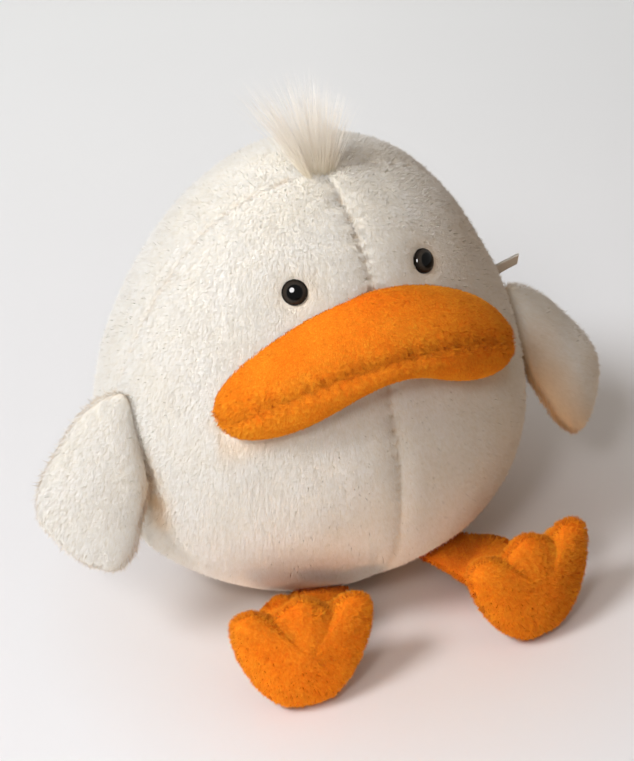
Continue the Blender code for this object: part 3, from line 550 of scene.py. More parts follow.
def makeBody():
    g = gores
    first, last = g["startHeight"] / bodyShape["length"], crownShare(g["crownRadius"])
    share = (1 - np.cos(np.linspace(0, math.pi, g["rows"]))) / 2
    along = (first + (last - first) * share)[:, None]
    turn = (-math.pi + 2 * math.pi * np.arange(g["columns"]) / g["columns"])[None, :]
    quarter = math.pi / 2
    radius = eggRadius(along)
    which = np.round(turn / quarter)
    off = np.abs(turn - which * quarter) * radius
    run = along * 1.35 * bodyShape["length"]
    wander = softNoise(np.stack([run + 0 * which, which * 0.7 + 0 * run, 0 * run + 0 * which], -1), 11 * mm)
    wave = np.cos(2 * math.pi * run / g["puckerPitch"] + wander * 5)
    dip = g["seamDip"] * bump(off, g["seamReach"]) + g["stitchDip"] * bump(off, g["stitchReach"]) * (1 - 0.7 * wave)
    dip = dip - g["pucker"] * wave * bump(off, g["puckerReach"]) * np.clip(off / (2 * mm), 0.3, 1)
    dip = dip * np.where(np.abs(which) == 1, 0.55, 1.0)
    point, normal, _, _ = bodyFrame(along, turn)
    low = np.clip((0.50 - along) / 0.38, 0, 1) * np.clip(along / 0.045, 0.2, 1)
    crown = g["crownDip"] * bump(radius + 0 * turn, 8 * mm) + g["lowInset"] * low
    lift = g["lumps"] * softNoise(point, g["lumpSize"], 3.0) * np.clip(point[..., 2] / (20 * mm), 0, 1)
    grid = point + normal * (lift - dip * np.clip(radius / (6 * mm), 0, 1) - crown)[..., None]
    for side in sides:  # the cloth is drawn in a little round each eye
        centre, outward, _ = eyeCentre(side)
        away = np.linalg.norm(grid - centre, axis=-1)
        tuck = bump(away, 6.4 * mm) * 0.9 + bump(away, 14 * mm) * 0.3
        grid = grid - outward * (eyeShape["sink"] * tuck)[..., None]
    inner = grid[0] * [0.95, 0.95, 1] + [0, 0, 1.6 * mm]
    grid = np.concatenate([inner[None], grid])
    # seam colour: spots laid at the deepest pucker pits, partly the stitching and partly painted shade in the pits;
    # fainter on the side seams
    seam = bump(off, 1.7 * mm) * np.clip(0.0 - 1.1 * wave, 0.12, 1) * np.where(np.abs(which) == 1, 0.6, 1.0)
    # painted shade: a darker, browner tone under the bill, beside the wings, by the legs and round the eyes
    paintedShade = 0.35 * bump(billEdge(along, turn)[0], 6 * mm) * (billEdge(along, turn)[1] < 0)
    for place, angle, reach, strength in g["paintedShadeSpots"]:
        for sign in sides.values():
            away = np.linalg.norm(point - bodyPoint(place, sign * math.radians(angle)), axis=-1)
            paintedShade = np.maximum(paintedShade, strength * bump(away, reach * mm))
    fields = {
        "paintedShade": np.vstack([paintedShade[:1], paintedShade]), "seam": np.vstack([seam[:1] * 0 + 1, seam]),
        "along": np.vstack([along[:1], along]) + 0 * turn,
        "turnSin": np.sin(turn) + 0 * np.vstack([along[:1], along]),
        "turnCos": np.cos(turn) + 0 * np.vstack([along[:1], along]),
    }
    cover = loftPiece("bodyCover", grid, whiteCloth, fields=fields)
    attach(cover, "body")
    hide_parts("front_panel_right", "front_panel_left", "back_panel_right", "back_panel_left", "body_fill")
    return cover


bodyPile = {
    "perSquareMm": 5.2, "length": 2.9 * mm, "uneven": 0.35, "width": 0.20 * mm, "lieRoot": 48, "lieTip": 75,
    "wild": 0.30, "lock": 8, "gather": 0.44, "sway": 0.34, "spin": 25, "seamLength": 0.7, "strays": 0.08,
    "soften": 0.88, "seed": 21,
    "partNames": ["Front", "Left", "Back", "Right"],
}


def bodyTrim(roots, normals, fields):
    turn = np.arctan2(fields["turnSin"], fields["turnCos"])
    fields["quarter"] = turn / (math.pi / 2)
    edge = billEdge(fields["along"], turn)[0]
    keep = np.clip(0.55 + edge / (6 * mm), 0.45, 1.0)
    keep = np.where(edge < -4 * mm, 0.1, keep) * np.clip(0.5 + fields["along"] / 0.3, 0, 1)
    turned = np.zeros_like(roots)
    for side in sides:
        centre, _, _ = eyeCentre(side)
        out = roots - centre
        away = np.linalg.norm(out, axis=1)
        keep = keep * np.clip((away - 4.8 * mm) / (3.5 * mm), 0.15, 1)
        turned += unit(out) * 1.5 * bump(away, 8 * mm)[:, None]
    return keep, turned


cover = makeBody()
growPile("bodyPile", cover, bodyPile, downNap, whiteFibre, "body", trim=bodyTrim, parts=4)

basePanel = {"inset": 1.5 * mm, "height": 2.4 * mm, "columns": 128}


def makeBase():
    wide = float(eggRadius(np.array(gores["startHeight"] / bodyShape["length"]))) - basePanel["inset"]
    turn = 2 * math.pi * np.arange(basePanel["columns"]) / basePanel["columns"]
    profile = [(0.55, 0.25), (0.9, 0.1), (0.985, 0.12), (1.0, 0.5), (0.99, 0.9), (0.95, 1.0), (0.5, 1.0)]
    grid = np.array([np.stack([wide * r * np.sin(turn), -wide * r * bodyShape["depthShare"] * np.cos(turn),
                               h * basePanel["height"] + 0 * turn], -1) for r, h in profile])
    grid[..., 2] += 0.12 * mm * (1 + softNoise(grid, 9 * mm))
    seam = np.array([0, 0.2, 0.8, 1, 1, 1, 1])[:, None] + 0 * turn
    panel = loftPiece("basePanel", grid, whiteCloth, fields={"seam": seam})
    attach(panel, "body")
    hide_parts("base_panel")


makeBase()
print("body made")


# Eyes: moulded domes on posts

def eyeFinish():
    material, nodes, links, shader = finishNodes("eyePlastic")
    speck = addNoise(nodes, links, 900.0, 2.0)
    ring = addRamp(nodes, links, addField(nodes, "ring"), [
        (0.0, (0.002, 0.002, 0.002)), (0.57, (0.002, 0.002, 0.002)), (0.61, (0.02, 0.017, 0.014)),
        (0.68, (0.036, 0.029, 0.023)), (0.82, (0.030, 0.022, 0.016)), (0.92, (0.010, 0.007, 0.005)),
        (1.0, (0.008, 0.006, 0.004))])
    shade = addRamp(nodes, links, speck.outputs["Fac"], [(0.3, (0.8, 0.8, 0.8)), (0.7, (1.0, 1.0, 1.0))])
    links.new(addMix(nodes, links, 1.0, ring, shade, "MULTIPLY"), shader.inputs["Base Color"])
    shader.inputs["Roughness"].default_value = 0.06
    shader.inputs["Specular IOR Level"].default_value = 0.12
    return material


eyePlastic = eyeFinish()


def makeEye(side):
    e = eyeShape
    centre, normal, up = eyeCentre(side)
    right = np.cross(up, normal)
    floor = -e["sink"] + e["gap"]
    tilt = np.linspace(0.02, math.pi / 2, 30)
    profile = [(e["radius"] * math.sin(a), floor + e["rim"] + e["dome"] * math.cos(a)) for a in tilt]
    profile += [(e["radius"] * 1.0, floor + 0.5 * e["rim"]), (e["radius"] * 0.97, floor), (e["postRadius"], floor)]
    for rib in range(5):
        top = floor - e["post"] * (rib + 0.6) / 5.4
        profile += [(e["postRadius"], top + 0.5 * mm), (e["postRadius"] - 0.3 * mm, top)]
    profile += [(e["postRadius"] - 0.3 * mm, floor - e["post"])]
    turn = 2 * math.pi * np.arange(72) / 72
    grid = np.array([centre + normal * h + right * (r * np.cos(turn))[:, None] + up * (r * np.sin(turn))[:, None]
                     for r, h in profile])
    ring = np.array([min(r / e["radius"], 1.0) if k < 31 else 1.0 for k, (r, h) in enumerate(profile)])
    eye = loftPiece("eye" + side.title(), grid, eyePlastic, fields={"ring": ring[:, None] + 0 * turn})
    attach(eye, "body")
    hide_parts("eye_" + side)


def washerFinish():
    material, nodes, links, shader = finishNodes("washerPlastic")
    haze = addNoise(nodes, links, 260.0, 3.0)
    tone = addRamp(nodes, links, haze.outputs["Fac"], [(0.3, (0.70, 0.70, 0.67)), (0.7, (0.84, 0.84, 0.81))])
    links.new(tone, shader.inputs["Base Color"])
    shader.inputs["Roughness"].default_value = 0.42
    addBump(nodes, links, shader, haze.outputs["Fac"], 0.2, 0.1 * mm)
    return material


washerPlastic = washerFinish()
for side in sides:
    makeEye(side)
    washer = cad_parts["eye_washer_" + side]
    washer.data.materials.clear()
    washer.data.materials.append(washerPlastic)
print("eyes made")


# Pillows: wings, feet and tail

def pillowPiece(name, pillow, outline, middle, place, nodes, body, material, relief=None, shadeAndSwell=None):
    columns, rings = 132, 15
    edge = closedSpline(outline, columns)
    away = edge - middle
    size = np.linalg.norm(away, axis=1, keepdims=True)
    drawn = np.minimum(1, np.abs(edge[:, :1] / (6 * mm))) if pillow["rooted"] else 1
    away = away * (1 - pillow["inset"] * drawn / size)
    size = np.linalg.norm(away, axis=1, keepdims=True)
    angle = np.linspace(0.03, math.pi - 0.03, 2 * rings + 1)[:, None]
    wide = np.sin(angle)
    spot = middle + away[None] * (wide[..., None])
    inward = size[None, :, 0] * (1 - wide)  # how far in from the rim
    half = pillow["halfThick"] - pillow["inset"]
    height = half * np.cos(angle) * (1 + 0 * size.T)
    pitch = pillow["pucker"]
    course = np.cumsum(np.linalg.norm(np.roll(edge, -1, 0) - edge, axis=1))[None, :]
    wave = np.cos(2 * math.pi * course / pitch + 2.2 * np.sin(course / (13 * mm)))
    fade = bump(inward, pillow["puckerReach"]) * np.sin(angle * 2) ** 2
    height = height * (1 + pillow["puckerDepth"] * wave * fade)
    if relief is not None:
        height = height - np.sign(np.cos(angle)) * relief(spot, np.abs(height))
    if shadeAndSwell is not None:  # the face is fuller beside the body
        height = height + shadeAndSwell(spot)[1] * np.clip(np.cos(angle), 0, 1)
    pinch = pillow["seamDip"] * bump(height, 1.6 * mm) * bump(inward, 3 * mm)
    spot = spot - away[None] / size[None] * pinch[..., None]
    x, y, z = (v[..., None] for v in (spot[..., 0], spot[..., 1], height))
    grid = place(x, y, z)
    lumps = softNoise(grid, pillow["lumpSize"], 2.0) * pillow["lumps"]
    outward = place(0, 0, 1)[..., :] - place(0, 0, 0)[..., :]
    grid = grid + outward * (lumps * np.cos(angle))[..., None]
    seam = bump(height, 1.5 * mm) * bump(inward, 3 * mm)
    # painted shade on the root side of the face
    paintedShade = shadeAndSwell(spot)[0] if shadeAndSwell is not None else seam * 0
    piece = loftPiece(name, grid, material, fields={"seam": seam, "paintedShade": paintedShade})
    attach(piece, body)
    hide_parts(*nodes)
    return piece


wingShape = {
    "topAlong": 0.572, "topTurn": math.radians(81.5), "footAlong": 0.405, "footTurn": math.radians(65.7),
    "sweep": math.radians(44.6), "stand": 3.0 * mm, "width": 0.057, "length": 0.081,
    "outline": {
        "right": [(-0.03, 0.00), (0.12, -0.07), (0.40, 0.00), (0.65, 0.15), (0.84, 0.28), (0.97, 0.43), (1.00, 0.58),
                  (0.92, 0.70), (0.80, 0.83), (0.62, 0.94), (0.42, 1.00), (0.26, 0.93), (0.14, 0.80),
                  (0.04, 0.63), (-0.03, 0.46), (-0.04, 0.30), (-0.04, 0.15)],
        "left": [(-0.03, 0.00), (0.10, -0.05), (0.34, 0.02), (0.57, 0.16), (0.76, 0.30), (0.89, 0.44), (0.96, 0.58),
                 (0.92, 0.72), (0.78, 0.86), (0.58, 0.98), (0.38, 1.03), (0.22, 0.94), (0.11, 0.80),
                 (0.03, 0.63), (-0.03, 0.46), (-0.04, 0.30), (-0.04, 0.15)]},
    "rootLine": ([0, 0.46, 0.63, 0.80, 0.93, 1.03], [-0.04, -0.04, 0.03, 0.12, 0.24, 0.42]),
    # width and strength of the painted shade band on each wing's root side, and the extra fullness there
    "paintedShadeBand": {"right": (0.10, 0.8), "left": (0.46, 1.0)}, "swell": {"right": 4.0 * mm, "left": 0.0},
    "middle": (0.48, 0.47), "halfThick": 11.5 * mm, "pucker": 9 * mm, "puckerReach": 8 * mm, "puckerDepth": 0.07,
    "seamDip": 0.8 * mm, "lumps": 0.9 * mm, "lumpSize": 20 * mm, "fill": 0.6, "inset": 2.8 * mm, "rooted": True,
}
wingPile = {
    "perSquareMm": 5.2, "length": 3.4 * mm, "uneven": 0.35, "width": 0.20 * mm, "lieRoot": 48, "lieTip": 75,
    "wild": 0.28, "lock": 8, "gather": 0.38, "sway": 0.28, "spin": 25, "seamLength": 1.35, "strays": 0.10,
    "soften": 0.90, "seed": 31,
}


def wingPlace(side):
    s, sign = wingShape, sides[side]
    top = bodyProud(s["topAlong"], sign * s["topTurn"], s["stand"])
    foot = bodyProud(s["footAlong"], sign * s["footTurn"], s["stand"])
    down = unit(foot - top)
    normal = bodyFrame((s["topAlong"] + s["footAlong"]) / 2, sign * (s["topTurn"] + s["footTurn"]) / 2)[1]
    normal = unit(normal - down * dot(normal, down))
    back = np.cross(normal, down) * sign
    out = normal * math.cos(s["sweep"]) + back * math.sin(s["sweep"])
    face = np.cross(out, down) * -sign
    return (lambda x, y, z: top + out * x + down * y + face * z), out, down


def wingShadeAndSwell(side):  # painted shade: a darker, browner band on the root side, where the body shades the wing; the face is fuller there
    s = wingShape
    band, strength = s["paintedShadeBand"][side]

    def shadeAndSwell(spot):
        x, y = spot[..., 0] / s["width"], spot[..., 1] / s["length"]
        share = np.clip(1 - (x - np.interp(y, *s["rootLine"])) / band, 0, 1) * np.clip((y - 0.15) / 0.45, 0, 1)
        return strength * share, s["swell"][side] * bump(x, 0.30) * bump(y - 0.32, 0.24)

    return shadeAndSwell


for number, side in enumerate(sides):
    place, out, down = wingPlace(side)
    scale = np.array([wingShape["width"], wingShape["length"]])
    nodes = ["wing_%s_%s" % (side, part) for part in ("outer_panel", "inner_panel", "fill")]
    wing = pillowPiece("wing" + side.title(), wingShape, np.array(wingShape["outline"][side]) * scale,
                       np.array(wingShape["middle"]) * scale, place, nodes, "wing_" + side, whiteCloth,
                       shadeAndSwell=wingShadeAndSwell(side))
    drift = out * 0.75 + down
    growPile("wing" + side.title() + "Pile", wing, {**wingPile, "seed": wingPile["seed"] + number},
             lambda p, n: np.broadcast_to(drift, p.shape), whiteFibre, "wing_" + side)
print("wings made")

footShape = {
    "halfWidth": 0.0365, "length": 0.056, "halfThick": 12.5 * mm, "middle": 0.5,
    "lean": {"left": math.radians(16), "right": math.radians(17)},
    "side": {"left": 0.0635, "right": 0.0600}, "ahead": {"left": 0.0199, "right": 0.0120},
    "turnOut": {"left": math.radians(2), "right": math.radians(4)},
    "faceOut": {"left": math.radians(6), "right": math.radians(5)},
    "outline": [(0.00, 0.00), (0.34, 0.03), (0.65, 0.20), (0.89, 0.48), (1.00, 0.75),
                (0.96, 0.91), (0.70, 0.95), (0.44, 0.88), (0.22, 0.955), (0.00, 1.00)],
    "pucker": 6 * mm, "puckerReach": 6 * mm, "puckerDepth": 0.08, "seamDip": 0.9 * mm, "lumps": 0.8 * mm,
    "lumpSize": 15 * mm, "fill": 0.7, "creaseDepth": 0.9 * mm, "creaseReach": 4.4 * mm, "inset": 1.3 * mm,
    "rooted": False,
}
legShape = {
    "radius": 0.015, "rootHalfThick": 0.006, "rootAlong": 0.105, "stand": 0.8 * mm,
    "rootTurn": {"left": math.radians(28), "right": math.radians(23)}, "columns": 64, "lumps": 0.5 * mm,
    "inset": 0.9 * mm, "hidden": 0.28,
    "sections": [(-0.28, 0.90, 0.0, 0.0), (0.0, 0.95, 0.0, 0.0), (0.28, 0.97, 0.28, 0.5), (0.55, 1.0, 0.70, 0.9),
                 (0.80, 1.0, 0.95, 1.0), (1.0, 1.0, 1.0, 1.0)],
}
footPile = {
    "perSquareMm": 6.5, "length": 2.2 * mm, "uneven": 0.35, "width": 0.22 * mm, "lieRoot": 15, "lieTip": 45,
    "wild": 0.60, "lock": 6, "gather": 0.55, "sway": 0.50, "spin": 40, "seamLength": 1.0, "strays": 0.12,
    "soften": 0.78, "seed": 41,
}


def footPlace(side):
    s, sign = footShape, sides[side]
    toes = np.array([0.0, math.sin(s["lean"][side]), math.cos(s["lean"][side])])
    across = np.array([1.0, 0.0, 0.0])
    sole = np.cross(across, toes)
    turn = Matrix.Rotation(sign * s["faceOut"][side], 3, "Z")
    turn = np.array(turn @ Matrix.Rotation(sign * s["turnOut"][side], 3, Vector(sole)))
    across, toes, sole = turn @ across, turn @ toes, turn @ sole
    heel = s["middle"] * s["length"]
    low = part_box("foot_%s_sole_panel" % side)[0][2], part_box("foot_%s_top_panel" % side)[0][2]
    front = -bodyShape["halfWidth"] * bodyShape["depthShare"]
    middle = np.array([sign * s["side"][side], front - s["ahead"][side], heel])

    def place(x, y, z):
        return middle + across * x + toes * (y - heel) + sole * z

    lowest = min(place(x * s["halfWidth"] * flip, y * s["length"], z)[2] for x, y in s["outline"]
                 for flip in (1, -1) for z in (-1.2 * mm, 1.2 * mm))
    middle[2] += min(low) - lowest
    return place, across, toes, sole


def toeCreases(spot, height):  # two grooves that run down between the toes
    s = footShape
    x, y = np.abs(spot[..., 0]) / s["halfWidth"], spot[..., 1] / s["length"]
    line = 0.27 + 0.28 * np.clip((y - 0.55) / 0.38, 0, 1)
    strength = np.clip((y - 0.76) / 0.16, 0, 1)
    groove = bump((x - line) * s["halfWidth"], s["creaseReach"]) * strength
    return np.minimum(s["creaseDepth"] * groove, height * 0.75)


def makeLeg(side, end, material):
    s, sign = legShape, sides[side]
    root, normal, _, across = bodyFrame(s["rootAlong"], sign * s["rootTurn"][side])
    root = root + normal * s["stand"]
    run = end - root
    axis = unit(run)
    over = np.cross(axis, unit(across - axis * dot(across, axis)))
    turn = 2 * math.pi * np.arange(s["columns"]) / s["columns"]
    table = np.array(s["sections"])
    radius = s["radius"] - s["inset"]
    rows = []
    for share in np.linspace(-s["hidden"], 1.0, 28):
        wide, thick, turned = (np.interp(share, table[:, 0], table[:, k]) for k in (1, 2, 3))
        facing = unit(normal * (1 - turned) + axis * turned)
        level = unit(across - facing * dot(across, facing))
        deep = s["rootHalfThick"] + thick * (radius - s["rootHalfThick"])
        rows.append(root + run * share + level * (wide * radius * np.cos(turn))[:, None]
                    + np.cross(facing, level) * (deep * np.sin(turn))[:, None])
    level = np.cross(over, axis)
    for angle in np.linspace(0, math.pi / 2, 12)[1:-1]:
        spread = radius * math.cos(angle)
        rows.append(end + axis * radius * math.sin(angle) + level * (spread * np.cos(turn))[:, None]
                    + over * (spread * np.sin(turn))[:, None])
    grid = np.array(rows)
    heart = grid.mean(1, keepdims=True)
    grid = grid + unit(grid - heart) * (softNoise(grid, 11 * mm, 7.0) * s["lumps"])[..., None]
    seam = np.zeros(grid.shape[:2])
    seam[:4] = [[1.0], [1.0], [0.8], [0.4]]
    leg = loftPiece("leg" + side.title(), grid, material, fields={"seam": seam})
    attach(leg, "leg_" + side)
    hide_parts("leg_%s_cover" % side, "leg_%s_fill" % side)
    return leg, axis


for number, side in enumerate(sides):
    place, across, toes, sole = footPlace(side)
    scale = np.array([footShape["halfWidth"], footShape["length"]])
    halfOutline = [np.array(p) * scale for p in footShape["outline"]]
    outline = halfOutline + [p * [-1, 1] for p in halfOutline[1:-1]][::-1]
    middle = np.array([0.0, footShape["middle"]]) * scale
    nodes = ["foot_%s_%s" % (side, part) for part in ("sole_panel", "top_panel", "fill")]
    foot = pillowPiece("foot" + side.title(), footShape, outline, middle, place, nodes, "foot_" + side, orangeCloth,
                       relief=toeCreases)
    growPile("foot" + side.title() + "Pile", foot, {**footPile, "seed": footPile["seed"] + number}, downNap,
             orangeFibre, "foot_" + side)
    end = place(0.0, middle[1], -footShape["halfThick"] - 0.4 * mm - legShape["radius"])
    leg, axis = makeLeg(side, end, orangeCloth)
    growPile("leg" + side.title() + "Pile", leg, {**footPile, "seed": footPile["seed"] + 10 + number},
             lambda p, n: np.broadcast_to(axis, p.shape), orangeFibre, "leg_" + side)
print("legs and feet made")

tailShape = {
    "halfWidth": 0.019, "length": 0.036, "halfThick": 7.5 * mm, "along": 0.27, "rise": math.radians(42),
    "stand": -0.9 * mm, "middle": 0.45,
    "outline": [(0.00, 0.00), (0.62, 0.02), (0.95, 0.22), (0.98, 0.46), (0.80, 0.70), (0.45, 0.90), (0.00, 1.00)],
    "pucker": 7 * mm, "puckerReach": 5 * mm, "puckerDepth": 0.08, "seamDip": 0.8 * mm, "lumps": 0.5 * mm,
    "lumpSize": 14 * mm, "fill": 0.7, "inset": 2.2 * mm, "rooted": False,
}
tailPile = {**wingPile, "length": 5.5 * mm, "seed": 61}


def makeTail():
    s = tailShape
    point, normal, up, side = bodyFrame(s["along"], math.pi)
    out = normal * math.cos(s["rise"]) + up * math.sin(s["rise"])
    over = up * math.cos(s["rise"]) - normal * math.sin(s["rise"])
    start = point + normal * s["stand"]
    half = [np.array(p) * [s["halfWidth"], s["length"]] for p in s["outline"]]
    outline = half + [p * [-1, 1] for p in half[1:-1]][::-1]
    tail = pillowPiece("tail", s, outline, np.array([0.0, s["middle"] * s["length"]]),
                       lambda x, y, z: start + side * x + out * y + over * z,
                       ["tail_top_panel", "tail_under_panel", "tail_fill"], "body", whiteCloth)
    growPile("tailPile", tail, tailPile, lambda p, n: np.broadcast_to(out, p.shape), whiteFibre, "body")


makeTail()
print("tail made")


# Tuft: a fan of straight fine hair

tuftShape = {
    "strands": 1400, "length": 0.0485, "rootRadius": 6.8 * mm, "spread": math.radians(21), "depth": math.radians(12),
    "fall": math.radians(-5), "lean": math.radians(4), "width": 0.11 * mm, "segments": 5, "sink": 4.0 * mm,
    "clumpShare": 0.28, "clump": (-0.78, 0.13), "fan": (0.08, 0.45), "towardLight": (-0.55, -0.45, 0.45),
    "cuts": [1.0, 0.93, 0.84, 0.74, 0.60], "cutShares": [0.10, 0.20, 0.28, 0.25, 0.17], "seed": 71,
}


def hairFinish():
    material, nodes, links, shader = finishNodes("tuftHair")
    strand = addRamp(nodes, links, addField(nodes, "reach"), [
        (0.0, (1.0, 0.92, 0.74)), (0.15, (1.0, 0.94, 0.82)), (0.5, (0.97, 0.94, 0.88)), (1.0, (0.97, 0.96, 0.93))])
    tone = addRamp(nodes, links, addField(nodes, "tone"), [(0.0, (0.96, 0.94, 0.91)), (0.8, (1.0, 1.0, 1.0))])
    links.new(addMix(nodes, links, 1.0, strand, tone, "MULTIPLY"), shader.inputs["Base Color"])
    shader.inputs["Roughness"].default_value = 0.55
    shader.inputs["Specular IOR Level"].default_value = 0.35
    return material


def makeTuft():
    s = tuftShape
    rng = np.random.default_rng(s["seed"])
    count = s["strands"]
    back, up, _ = centreLine(np.array(1.0))
    root = np.array([0.0, back, up])
    axis = unit(np.array([math.sin(s["fall"]), math.sin(s["lean"]), math.cos(s["lean"])]))
    side = unit(np.array([math.cos(s["fall"]), 0.0, -math.sin(s["fall"])]))
    depth = np.cross(axis, side)
    inClump = rng.random(count) < s["clumpShare"]
    place = np.where(inClump, rng.normal(*s["clump"], count), rng.normal(*s["fan"], count))
    place = np.clip(place, -1, 1)
    lift = np.clip(rng.normal(0, 0.5, count), -1, 1)
    swing = (place * s["spread"] + rng.normal(0, 0.05, count))[:, None]
    tip = (lift * s["depth"] + rng.normal(0, 0.04, count))[:, None]
    start = root - axis * s["sink"] + side * ((place - 0.25) * s["rootRadius"])[:, None]
    start = start + depth * (lift * s["rootRadius"] * 0.5)[:, None]
    start = start + axis * rng.uniform(0, 1.5 * mm, (count, 1))
    going = unit(axis + side * np.tan(swing) + depth * np.tan(tip))
    reach = s["length"] * (1 - 0.34 * np.clip(place, 0, 1) + 0.12 * np.clip(-place, 0, 1)) + s["sink"]
    reach = (reach * rng.choice(s["cuts"], count, p=s["cutShares"]))[:, None]
    bow = side * (place[:, None] * 0.10) + rng.normal(0, 0.035, (count, 3))
    bow = bow - np.array([0, 0, 0.03]) * np.abs(place)[:, None]
    across = unit(np.cross(going, unit(rng.normal(size=(count, 3)) * 0.45 + s["towardLight"])))
    rows = []
    for k in range(s["segments"] + 1):
        t = k / s["segments"]
        middle = start + going * reach * t + bow * reach * t ** 2
        wide = across * s["width"] / 2 * (1 - 0.75 * t ** 1.5) * (1.0 if k < s["segments"] else 0.5)
        rows += [middle - wide, middle + wide]
    strips = np.stack(rows, 1)
    per = strips.shape[1]
    first = np.arange(count)[:, None] * per
    faces = np.concatenate([first + [2 * k, 2 * k + 1, 2 * k + 3, 2 * k + 2] for k in range(s["segments"])], 1)
    cells = math.ceil(math.sqrt(count))
    corner = np.stack([np.arange(count) % cells, np.arange(count) // cells], 1)[:, None, :]
    inner = []
    for k in range(s["segments"]):
        low, high = 0.1 + 0.8 * k / s["segments"], 0.1 + 0.8 * (k + 1) / s["segments"]
        inner += [(0.2, low), (0.8, low), (0.8, high), (0.2, high)]
    uv = ((corner + np.array(inner)[None]) / cells).reshape(-1, 2)
    shares = np.repeat(np.arange(s["segments"] + 1) / s["segments"], 2)
    tuft = newPiece("tuft", strips.reshape(-1, 3), faces.reshape(-1, 4).tolist(), uv, hairFinish(),
                    {"reach": np.tile(shares, count), "tone": np.repeat(rng.random(count), per)})
    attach(tuft, "body")
    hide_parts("tuft")


makeTuft()
print("tuft made")


# Ribbon: a bare folded loop in the side seam

ribbonShape = {
    "width": 0.011, "length": 0.0205, "thick": 0.3 * mm, "loop": 0.45 * mm, "along": 0.590,
    "tilt": math.radians(-4), "twist": math.radians(24), "stand": -1.7 * mm,
}


def ribbonFinish():
    material, nodes, links, shader = finishNodes("ribbonSatin")
    place = nodes.new("ShaderNodeTexCoord")
    weave = nodes.new("ShaderNodeTexWave")
    weave.inputs["Scale"].default_value = 900.0
    weave.inputs["Distortion"].default_value = 0.6
    links.new(place.outputs["Object"], weave.inputs["Vector"])
    tone = addRamp(nodes, links, weave.outputs["Fac"], [(0.2, (0.66, 0.65, 0.62)), (0.8, (0.76, 0.75, 0.72))])
    links.new(tone, shader.inputs["Base Color"])
    shader.inputs["Roughness"].default_value = 0.38
    addBump(nodes, links, shader, weave.outputs["Fac"], 0.25, 0.05 * mm)
    return material


def makeRibbon():
    s = ribbonShape
    point, normal, up, side = bodyFrame(s["along"], math.pi / 2)
    out = normal * math.cos(s["tilt"]) + up * math.sin(s["tilt"])
    level = up * math.cos(s["tilt"]) - normal * math.sin(s["tilt"])
    across = level * math.cos(s["twist"]) - side * math.sin(s["twist"])
    facing = side * math.cos(s["twist"]) + level * math.sin(s["twist"])
    root = point + normal * s["stand"]
    run = s["length"] - s["loop"]
    path = [(run * t, s["loop"] * (1 - 0.25 * math.sin(math.pi * t))) for t in np.linspace(0, 1, 14)]
    for step in range(1, 12):
        angle = math.pi * (0.5 - step / 12)
        path.append((run + s["loop"] * math.cos(angle), s["loop"] * math.sin(angle)))
    path += [(run * (1 - t), -s["loop"] * (1 - 0.25 * math.sin(math.pi * t))) for t in np.linspace(0, 1, 14)]
    path = np.array(path)
    breadth = np.linspace(-0.5, 0.5, 9)
    grid = root + out * path[:, None, 0:1] + facing * path[:, None, 1:2]
    grid = grid + across * (breadth * s["width"])[None, :, None]
    grid = grid + facing * (0.25 * mm * np.sin(path[:, 0] / run * 5)[:, None] * breadth[None, :])[..., None]
    ribbon = loftPiece("ribbon", grid, ribbonFinish(), around=False, capped=False)
    thick = ribbon.modifiers.new("Thickness", "SOLIDIFY")
    thick.thickness = s["thick"]
    thick.offset = 0.0
    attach(ribbon, "body")
    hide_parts("side_ribbon")


makeRibbon()
print("ribbon made")


# Floor, light and camera

stage = {
    "floorNear": (0.80, 0.80, 0.83), "floorFar": (0.93, 0.96, 0.99), "floorShadePool": (0.95, 0.86, 0.80),
    "floorRightShade": (0.92, 0.925, 0.93), "bounceLeft": (0.92, 0.88, 0.84), "bounceRight": (0.54, 0.38, 0.26),
    "background": (0.745, 0.735, 0.715), "worldLeft": (1.0, 0.88, 0.76), "worldRight": (0.96, 0.84, 0.72),
    "worldLow": (0.50, 0.38, 0.28), "worldHigh": (1.48, 1.52, 1.56), "worldLight": 0.34,
    "away": (0.438, 0.899, 0.0), "aside": (0.899, -0.438, 0.0),  # along the floor, as the camera looks
}
lamps = {  # place, aim, size, energy, colour
    "keyLamp": ((-2.70, -0.36, 2.90), (0, 0, 0.1), 1.3, 118.0, (0.92, 0.965, 1.0)),
    "frontLamp": ((-0.72, -0.78, 1.03), (0, 0, 0.12), 0.28, 4.6, (1.0, 0.98, 0.95)),
    "bounceLamp": ((-0.42, -0.62, 0.03), (-0.01, -0.09, -0.01), 0.18, 0.030, (1.0, 0.50, 0.25)),
    "glintLamp": ((-0.72, -0.78, 1.03), (0, 0, 0.15), 0.56, 70.0, (1.0, 0.99, 0.98)),
}
bounceSpread = math.radians(11)


